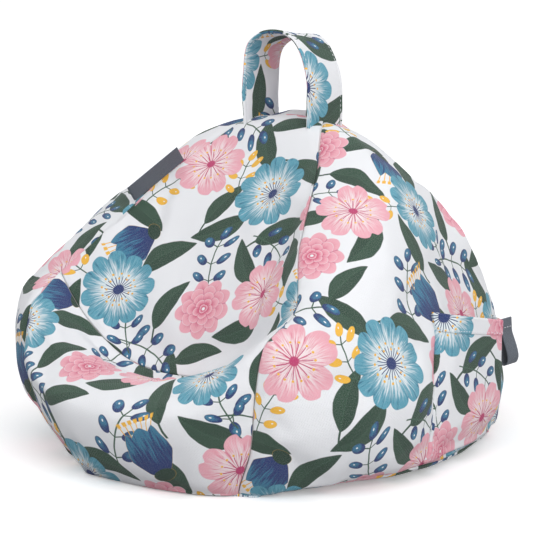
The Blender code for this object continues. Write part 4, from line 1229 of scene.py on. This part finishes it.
def pocket_cut(grid):
    """The pocket's place on the flat cloth: distance along each row from its slanted front edge, and up each column."""
    run = np.cumsum(np.linalg.norm(np.diff(grid, axis=1, prepend=grid[:, :1]), axis=-1), axis=1)
    rise = np.cumsum(np.linalg.norm(np.diff(grid, axis=0, prepend=grid[:1]), axis=-1), axis=0)
    return np.stack([run + grid[:, :1, 1], rise], -1)


def make_pocket():
    """The pocket's cloth with its front edge turned under, the hem folded over its mouth, and their stitches."""
    side = bpy.data.objects["right_side_cloth"]
    grid = pocket_place(side)
    cut, out = pocket_cut(grid), grid_normals(grid)
    finish = printed_cotton("pocket", POCKET_SHIFT)
    under = grid[:, :1] - out[:, :1] * UNDER_DEEP + np.array([0, UNDER_BACK, 0])
    sheet_grid = np.concatenate([under, grid], 1)
    sheet_cut = np.concatenate([cut[:, :1] - (UNDER_LONG, 0), cut], 1)
    pocket = piece("pocket_cloth", sheet_grid, cells(*sheet_grid.shape[:2]), finish, sheet_cut)
    thickened(smoothed(pocket), POCKET_THICK, 1.0)
    hem = make_hem(grid, cut, out, finish)
    level = POCKET_THICK + HEM_LAYER + HEM_CLEAR
    front, front_out = grid[:-HEM_ROWS, STITCH_COLUMN], out[:-HEM_ROWS, STITCH_COLUMN]
    thread = stitches("pocket_stitches", [
        (grid[-HEM_ROWS] + out[-HEM_ROWS] * level, out[-HEM_ROWS]),
        (front + front_out * POCKET_THICK, front_out),
    ])
    for part in (pocket, hem, thread):
        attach(part, "bag")
    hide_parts("phone_pocket")
    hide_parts("pocket_hem")
    extent(cut)
    area_of(cut)


def make_hem(grid, cut, out, finish):
    """The hem in section: up the pocket's outer face, over its mouth in half a turn, and down inside."""
    low = len(grid) - 1 - HEM_ROWS
    outer = grid[low:] + out[low:] * (POCKET_THICK + HEM_LAYER / 2 + HEM_CLEAR)
    inner = grid[low:][::-1] - out[low:][::-1] * (HEM_LAYER / 2 + HEM_CLEAR)
    turn = np.linspace(0, math.pi, 7)[1:-1, None, None]
    middle, reach = (outer[-1] + inner[0]) / 2, (outer[-1] - inner[0]) / 2
    rise = unit(grid[-1] - grid[-2]) * np.linalg.norm(reach, axis=-1, keepdims=True)
    over = middle + reach * np.cos(turn) + rise * np.sin(turn)
    band = np.concatenate([outer, over, inner])
    step = np.cumsum(np.linalg.norm(np.diff(band, axis=0, prepend=band[:1]), axis=-1), axis=0)
    flat = np.stack([np.broadcast_to(cut[-1, :, 0], step.shape), cut[low, :, 1] + step], -1)
    obj = piece("pocket_hem_cloth", band, cells(*band.shape[:2]), finish, flat)
    return thickened(smoothed(obj), HEM_LAYER, 0.0)


# the label and the ribbon


def bent_band(name, path, side, width, finish, thick, waist=0.0):
    """A woven band whose path is bent in its own plane and drawn out along the side direction. The waist is how much
    narrower it is at the two ends of its path."""
    across = np.linspace(-1, 1, 13)
    run = distance_along(path)
    ends = np.minimum(run, run[-1] - run)
    wide = width / 2 * (1 - waist * np.exp(-(ends / 0.006) ** 2))
    grid = path[:, None] + side * (wide[:, None] * across)[..., None]
    cloth = np.stack(np.broadcast_arrays(run[:, None], wide[:, None] * across), -1)
    obj = piece(name, grid, cells(*grid.shape[:2]), finish, cloth)
    return thickened(smoothed(obj), thick, 0.0), float(run[-1])


def hairpin(r, low, high, count):
    """A folded edge in section: up one side at the radius of the fold, over in half a turn, and down the other. Returns
    how far out and how far up each point is."""
    turn = np.linspace(0, math.pi, 9)[1:-1]
    rise = np.linspace(low, high, count)
    out = np.concatenate([np.full(count, r), r * np.cos(turn), np.full(count, -r)])
    return out, np.concatenate([rise, high + r * np.sin(turn), rise[::-1]])


def make_label():
    """A plain woven label, folded along its top edge, both ends in the seam of the face."""
    node = node_points("woven_label")
    centre = node.mean(0)
    along, up, _ = principal(node)
    up = up * np.sign(up[2])
    across = np.cross(along, up)
    reach = (node - centre) @ up
    low, top = reach.min() - LABEL_SEWN_IN, reach.max()
    out, rise = hairpin(LABEL_FOLD, low, top - 2 * LABEL_FOLD, 14)
    out = out + LABEL_BOW * np.clip((rise - low) / (top - low), 0, 1) ** 2
    path = centre + across * out[:, None] + up * rise[:, None]
    finish = woven_finish("label")
    label, long = bent_band("label_cloth", path, along, LABEL_LONG, finish, LABEL_THICK)
    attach(label, "label")
    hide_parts("woven_label")


def principal(points):
    """The three directions of a box-like set of points, longest first."""
    _, _, rows = np.linalg.svd(points - points.mean(0), full_matrices=False)
    return rows


# the hanging loop beside its row of stitches: out from the bag and down its front, round its foot and up its back
LOOP_LINE = (
    (0.0005, 0.0004), (0.0007, -0.0030), (0.0020, -0.0070), (0.0040, -0.0120), (0.0056, -0.0170), (0.0060, -0.0205),
    (0.0048, -0.0238), (0.0028, -0.0250), (0.0009, -0.0240), (-0.0002, -0.0205), (-0.0004, -0.0150), (-0.0003, -0.0080),
    (-0.0003, 0.0004),
)
LOOP_TOP = np.array([0.1180, 0.1208, 0.0703])
TAB_TALL = 0.0064
TAB_START, TAB_LEAN, LOOP_WAIST, TAB_WAIST = -0.0006, 0.0006, 0.10, 0.08


def make_ribbon():
    """The ribbon's sewn tab, folded over at its top, and the loop that hangs below the row of stitches."""
    side, wide, thick = np.array([0.0, 1.0, 0.0]), RIBBON_WIDTH, RIBBON_THICK
    line, _ = curve_through(LOOP_LINE, 60)
    path = LOOP_TOP + np.stack([line[:, 0], 0 * line[:, 0], line[:, 1]], -1)
    finish = woven_finish("ribbon")
    loop, long = bent_band("ribbon_loop_cloth", path, -side, wide, finish, thick, LOOP_WAIST)
    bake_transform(loop)
    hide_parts("ribbon_loop")
    out, up = hairpin(RIBBON_FOLD, TAB_START, TAB_TALL - RIBBON_FOLD, 16)
    path = LOOP_TOP + np.stack([out - TAB_LEAN * smoothstep(up, 0, TAB_TALL), 0 * up, up], -1)
    finish = woven_finish("ribbon_tab")
    tab, long = bent_band("ribbon_tab_cloth", path, side, wide, finish, thick, TAB_WAIST)
    across = np.linspace(-0.42, 0.46, 30)[:, None] * wide
    row = LOOP_TOP + (RIBBON_FOLD + 0.0005, 0, 0.0006) + across * side
    thread = stitches("ribbon_stitches", [(row, np.tile([1.0, 0, 0], (30, 1)))])
    for part in (tab, thread):
        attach(part, "bag")
    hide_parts("ribbon_tab")


# the zip


def make_zip():
    """Woven tapes in place of the plain ones. The teeth, stops, slider, bridge and pull get finishes."""
    for node in ("zip_tape_upper", "zip_tape_lower"):
        points = node_points(node)
        _, up, out, _ = zip_plane()
        away = 1 if "upper" in node else -1
        half, centre = TAPE_HALF_WIDE, points.mean(0) + up * away * TAPE_SHIFT
        across = np.linspace(-1, 1, 11)
        x = np.linspace(points[:, 0].min(), points[:, 0].max(), 61)
        ripple = TAPE_RIPPLE * np.sin(x / TAPE_RIPPLE_LONG)
        grid = centre + up * (half * across)[None, :, None] + out * ripple[:, None, None]
        grid = grid + np.array([1.0, 0, 0]) * (x - centre[0])[:, None, None]
        cloth = np.stack(np.broadcast_arrays(x[:, None], half * across), -1)
        tape = piece(node + "_cloth", grid, cells(*grid.shape[:2])[:, ::-1], tape_finish(node), cloth)
        thickened(tape, TAPE_THICK, 0.0)
        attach(tape, "bag")
        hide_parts(node)
        2 * half
    teeth, metal = plastic_finish(), metal_finish()
    for node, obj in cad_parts.items():
        if node.startswith("zip_") and "tape" not in node:
            obj.data.materials.clear()
            obj.data.materials.append(teeth if "teeth" in node else metal)


# finishes

DRILL_PITCH = 0.0009
WOVEN_PITCH, WOVEN_RIB = 0.00045, 0.0009
TAPE_RIB, TAPE_LEAN = 0.0007, 0.0015


def new_finish(name):
    """A new material and a net on its tree."""
    mat = bpy.data.materials.new(name)
    mat.use_nodes = True
    return mat, Net(mat.node_tree)


def shaded(mat, net, inputs, height=None, depth=0.0):
    """Fills the shader of a new material. A height, where there is one, drives a bump of a depth in metres."""
    shader = net.tree.nodes["Principled BSDF"]
    for key, value in inputs.items():
        net.feed(shader.inputs[key], value)
    if height is not None:
        bump = net.value("ShaderNodeBump", {"Height": height, "Distance": depth, "Strength": 1.0})
        net.feed(shader.inputs["Normal"], bump)
    return mat


def ribs(net, at, pitch=1.0):
    """Rounded ridges side by side: the size of a sine of the distance, from 0 to 1."""
    return abs(net.math("SINE", at * (math.pi / pitch)))


def weave(net, g):
    """A plain weave: threads across and along, over and under in turn, with a slow unevenness."""
    at = net.scaled(g["Cloth"], 1 / g["Pitch"])
    x, y, _ = net.split(at)
    parity = abs(net.math("MODULO", net.math("FLOOR", x) + net.math("FLOOR", y), 2.0))
    slub = net.noise(at, 0.22, 3.0, 0.6)
    return {"Height": net.mix(parity, ribs(net, x), ribs(net, y), "FLOAT") + 0.9 * slub, "Slub": slub}


def woven(net, at, pitch):
    """The height and the slub of a plain weave."""
    inputs = [("Cloth", "Vector", None), ("Pitch", "Float", 0.001)]
    group = shared("weave", lambda: effect("weave", inputs, [("Height", "Float"), ("Slub", "Float")], weave))
    return net.use(group, {"Cloth": at, "Pitch": pitch})


def printed_cotton(name, shift):
    """Cotton drill with the floral print, moved by a share of its repeat and faded where the threads stand up."""
    mat, net = new_finish(name + "_finish")
    at = net.cloth()
    moved = net.vector("ADD", at, (shift[0] * REPEAT, shift[1] * REPEAT, 0.0))
    ink = net.use(shared("print", floral_print), {"Cloth": moved})["Color"]
    threads = woven(net, at, DRILL_PITCH)
    worn = 0.13 * net.ramp(net.noise(at, 1700.0, 2.0, 0.6), 0.40, 0.80)
    inputs = {"Base Color": net.mix(worn, ink, GROUND), "Roughness": 0.78 + 0.12 * threads["Slub"],
              "Sheen Weight": 0.12, "Sheen Roughness": 0.5, "Specular IOR Level": 0.25}
    return shaded(mat, net, inputs, threads["Height"], 0.00016)


def woven_finish(name):
    """Slate ribbon cloth with fine ribs across it. Its colour carries painted shade, darker in the grooves between ribs
    and threads, and a random mottling from the weave's slub.
    """
    mat, net = new_finish(name + "_finish")
    at = net.cloth()
    tone = 0.5 * ribs(net, net.split(at)[0], WOVEN_RIB) + 0.4 * woven(net, at, WOVEN_PITCH)["Height"]
    # painted shade: the colour darkens with the rib and weave height into the grooves; the slub adds a random mottling
    colour = net.mix(net.ramp(tone, 0.1, 1.0), linear("434A54"), linear("5E656F"))
    return shaded(mat, net, {"Base Color": colour, "Roughness": 0.72, "Sheen Weight": 0.15}, tone, 0.00018)


def tape_finish(name):
    """White herringbone tape: ribs that lean one way and then the other across it, with painted shade greying the
    groove between each pair of ribs.
    """
    mat, net = new_finish(name + "_finish")
    x, y, _ = net.split(net.cloth())
    rib = ribs(net, x + net.math("PINGPONG", y, TAPE_LEAN), TAPE_RIB)
    # painted shade: grey in the grooves between the ribs, white on their crests
    colour = net.mix(rib, linear("CFD1D6"), linear("E9EAED"))
    return shaded(mat, net, {"Base Color": colour, "Roughness": 0.8}, rib, 0.00015)


def bead_finish():
    """Small round foam beads, one to each cell of a scattered pattern. The colour is painted shade: near white at each
    bead's middle and grey towards the gaps between beads.
    """
    mat, net = new_finish("bead_finish")
    pattern = {"Vector": net.space(), "Scale": 260.0, "Randomness": 0.7}
    cell = net.value("ShaderNodeTexVoronoi", pattern, "Distance")
    # painted shade: each bead's colour darkens from its middle towards the gaps between beads
    colour = net.mix(net.ramp(cell, 0.7, 0.2), linear("C9C9C6"), linear("F2F2F0"))
    return shaded(mat, net, {"Base Color": colour, "Roughness": 0.7}, 1 - cell, 0.0012)


def grained(name, tones, noise, rough, uneven=0.0, depth=0.0, stretch=None, metallic=0.0):
    """A finish mottled over space between two tones. Noise is the scale, detail and roughness of the mottling. Uneven
    is what it adds to the surface's roughness, and depth how deep it is."""
    mat, net = new_finish(name)
    place = net.vector("MULTIPLY", net.space(), stretch) if stretch else net.space()
    grain = net.noise(place, *noise)
    inputs = {"Base Color": net.mix(grain, *map(linear, tones)), "Metallic": metallic,
              "Roughness": rough + uneven * grain if uneven else rough}
    return shaded(mat, net, inputs, grain if depth else None, depth)


def lining_finish():
    """Plain lining cloth."""
    return grained("lining_finish", ("D5D4CE", "E8E7E2"), (900.0, 3.0, 0.6), 0.9, depth=0.0002)


def thread_finish():
    """Twisted white sewing thread."""
    return grained("thread_finish", ("DDDFE4", "F4F5F7"), (1800.0, 2.0, 0.5), 0.7)


def plastic_finish():
    """White moulded plastic, faintly uneven."""
    return grained("zip_teeth_finish", ("D4D6DA", "E4E6E9"), (700.0, 2.0, 0.5), 0.32, 0.15, 0.00004)


def metal_finish():
    """Satin nickel with fine handling marks."""
    return grained("zip_metal_finish", ("A9ABAF", "C6C8CB"), (600.0, 3.0, 0.6), 0.18, 0.25, 0.00003,
                   stretch=(1.0, 5.0, 5.0), metallic=1.0)


# camera, light and floor

EYE, EYE_DOWN, EYE_ROUND, LENS = (0.9165, -1.123, 0.3769), 10.2828, 38.976, 146.2
AIM = (0.0, 0.0, 0.08)
# area lamps: name, place, size and power
LAMPS = (
    ("key", (0.25, -0.55, 1.45), 1.3, 7.0),
    ("left", (-1.3, -0.5, 0.8), 1.0, 0.5),
    ("right", (1.30, -0.50, 0.68), 1.0, 8.0),
)
ROOM, ROOM_LIGHT, ROOM_SEEN = (0.985, 0.99, 1.0, 1.0), 0.66, 1.02
FLOOR_LIGHT, FLOOR_SEEN = (0.50, 0.50, 0.51, 1), (0.95, 0.95, 0.955, 1)
FLOOR_GLOW_NEAR, FLOOR_GLOW_FAR, FLOOR_HALF = 0.27, 0.46, 30


def seen_directly(net):
    """1 for what the camera sees, straight or in metal and glass, and 0 for light between surfaces."""
    rays_of = net.node("ShaderNodeLightPath").outputs
    return net.most(*(Value(net, rays_of[ray]) for ray in ("Is Camera Ray", "Is Glossy Ray", "Is Transmission Ray")))


def make_floor():
    """A white floor that keeps the shadow: for the camera it is pale and glows, by more away from the bag."""
    mat, net = new_finish("floor_finish")
    away = net.vector("LENGTH", net.space())
    glow = net.mix(net.ramp(away, 0.25, 0.9), FLOOR_GLOW_NEAR, FLOOR_GLOW_FAR, "FLOAT")
    camera_ray = net.value("ShaderNodeLightPath", out="Is Camera Ray")
    shaded(mat, net, {
        "Base Color": net.mix(camera_ray, FLOOR_LIGHT, FLOOR_SEEN), "Roughness": 0.9, "Specular IOR Level": 0.0,
        "Emission Color": (1, 1, 1, 1), "Emission Strength": seen_directly(net) * glow,
    })
    corners = np.array([(-1, -1, 0), (1, -1, 0), (1, 1, 0), (-1, 1, 0)]) * FLOOR_HALF
    floor = linked("floor", corners, [(0, 1, 2, 3)])
    floor.data.materials.append(mat)


def make_stage():
    """Soft white light from above and all round, the floor and the camera."""
    scene = bpy.context.scene
    scene.view_settings.view_transform = "Standard"
    world = bpy.data.worlds.new("studio")
    scene.world = world
    world.use_nodes = True
    net = Net(world.node_tree)
    back = world.node_tree.nodes["Background"]
    net.feed(back.inputs["Color"], ROOM)
    net.feed(back.inputs["Strength"], net.mix(seen_directly(net), ROOM_LIGHT, ROOM_SEEN, "FLOAT"))
    for name, place, size, power in LAMPS:
        lamp = bpy.data.lights.new(name, "AREA")
        lamp.shape = "SQUARE"
        lamp.size, lamp.energy = size, power
        obj = add_to_scene(name, lamp)
        obj.location = place
        x, y, z = np.array(AIM) - place
        obj.rotation_euler = (math.atan2(math.hypot(x, y), -z), 0, math.atan2(-x, y))
    make_floor()
    camera = bpy.data.cameras.new("camera")
    camera.lens, camera.sensor_width, camera.clip_end = LENS, 36.0, 100.0
    scene.camera = add_to_scene("camera", camera)
    scene.camera.location = EYE
    scene.camera.rotation_euler = (math.radians(90 - EYE_DOWN), 0, math.radians(EYE_ROUND))


make_stage()
cover, cover_quads, strip_ids, side_ids, seam_far = cover_points()
make_cover(cover, cover_quads, strip_ids, side_ids)
make_inside(cover, cover_quads, seam_far)
make_strap()
make_pocket()
make_label()
make_ribbon()
make_zip()
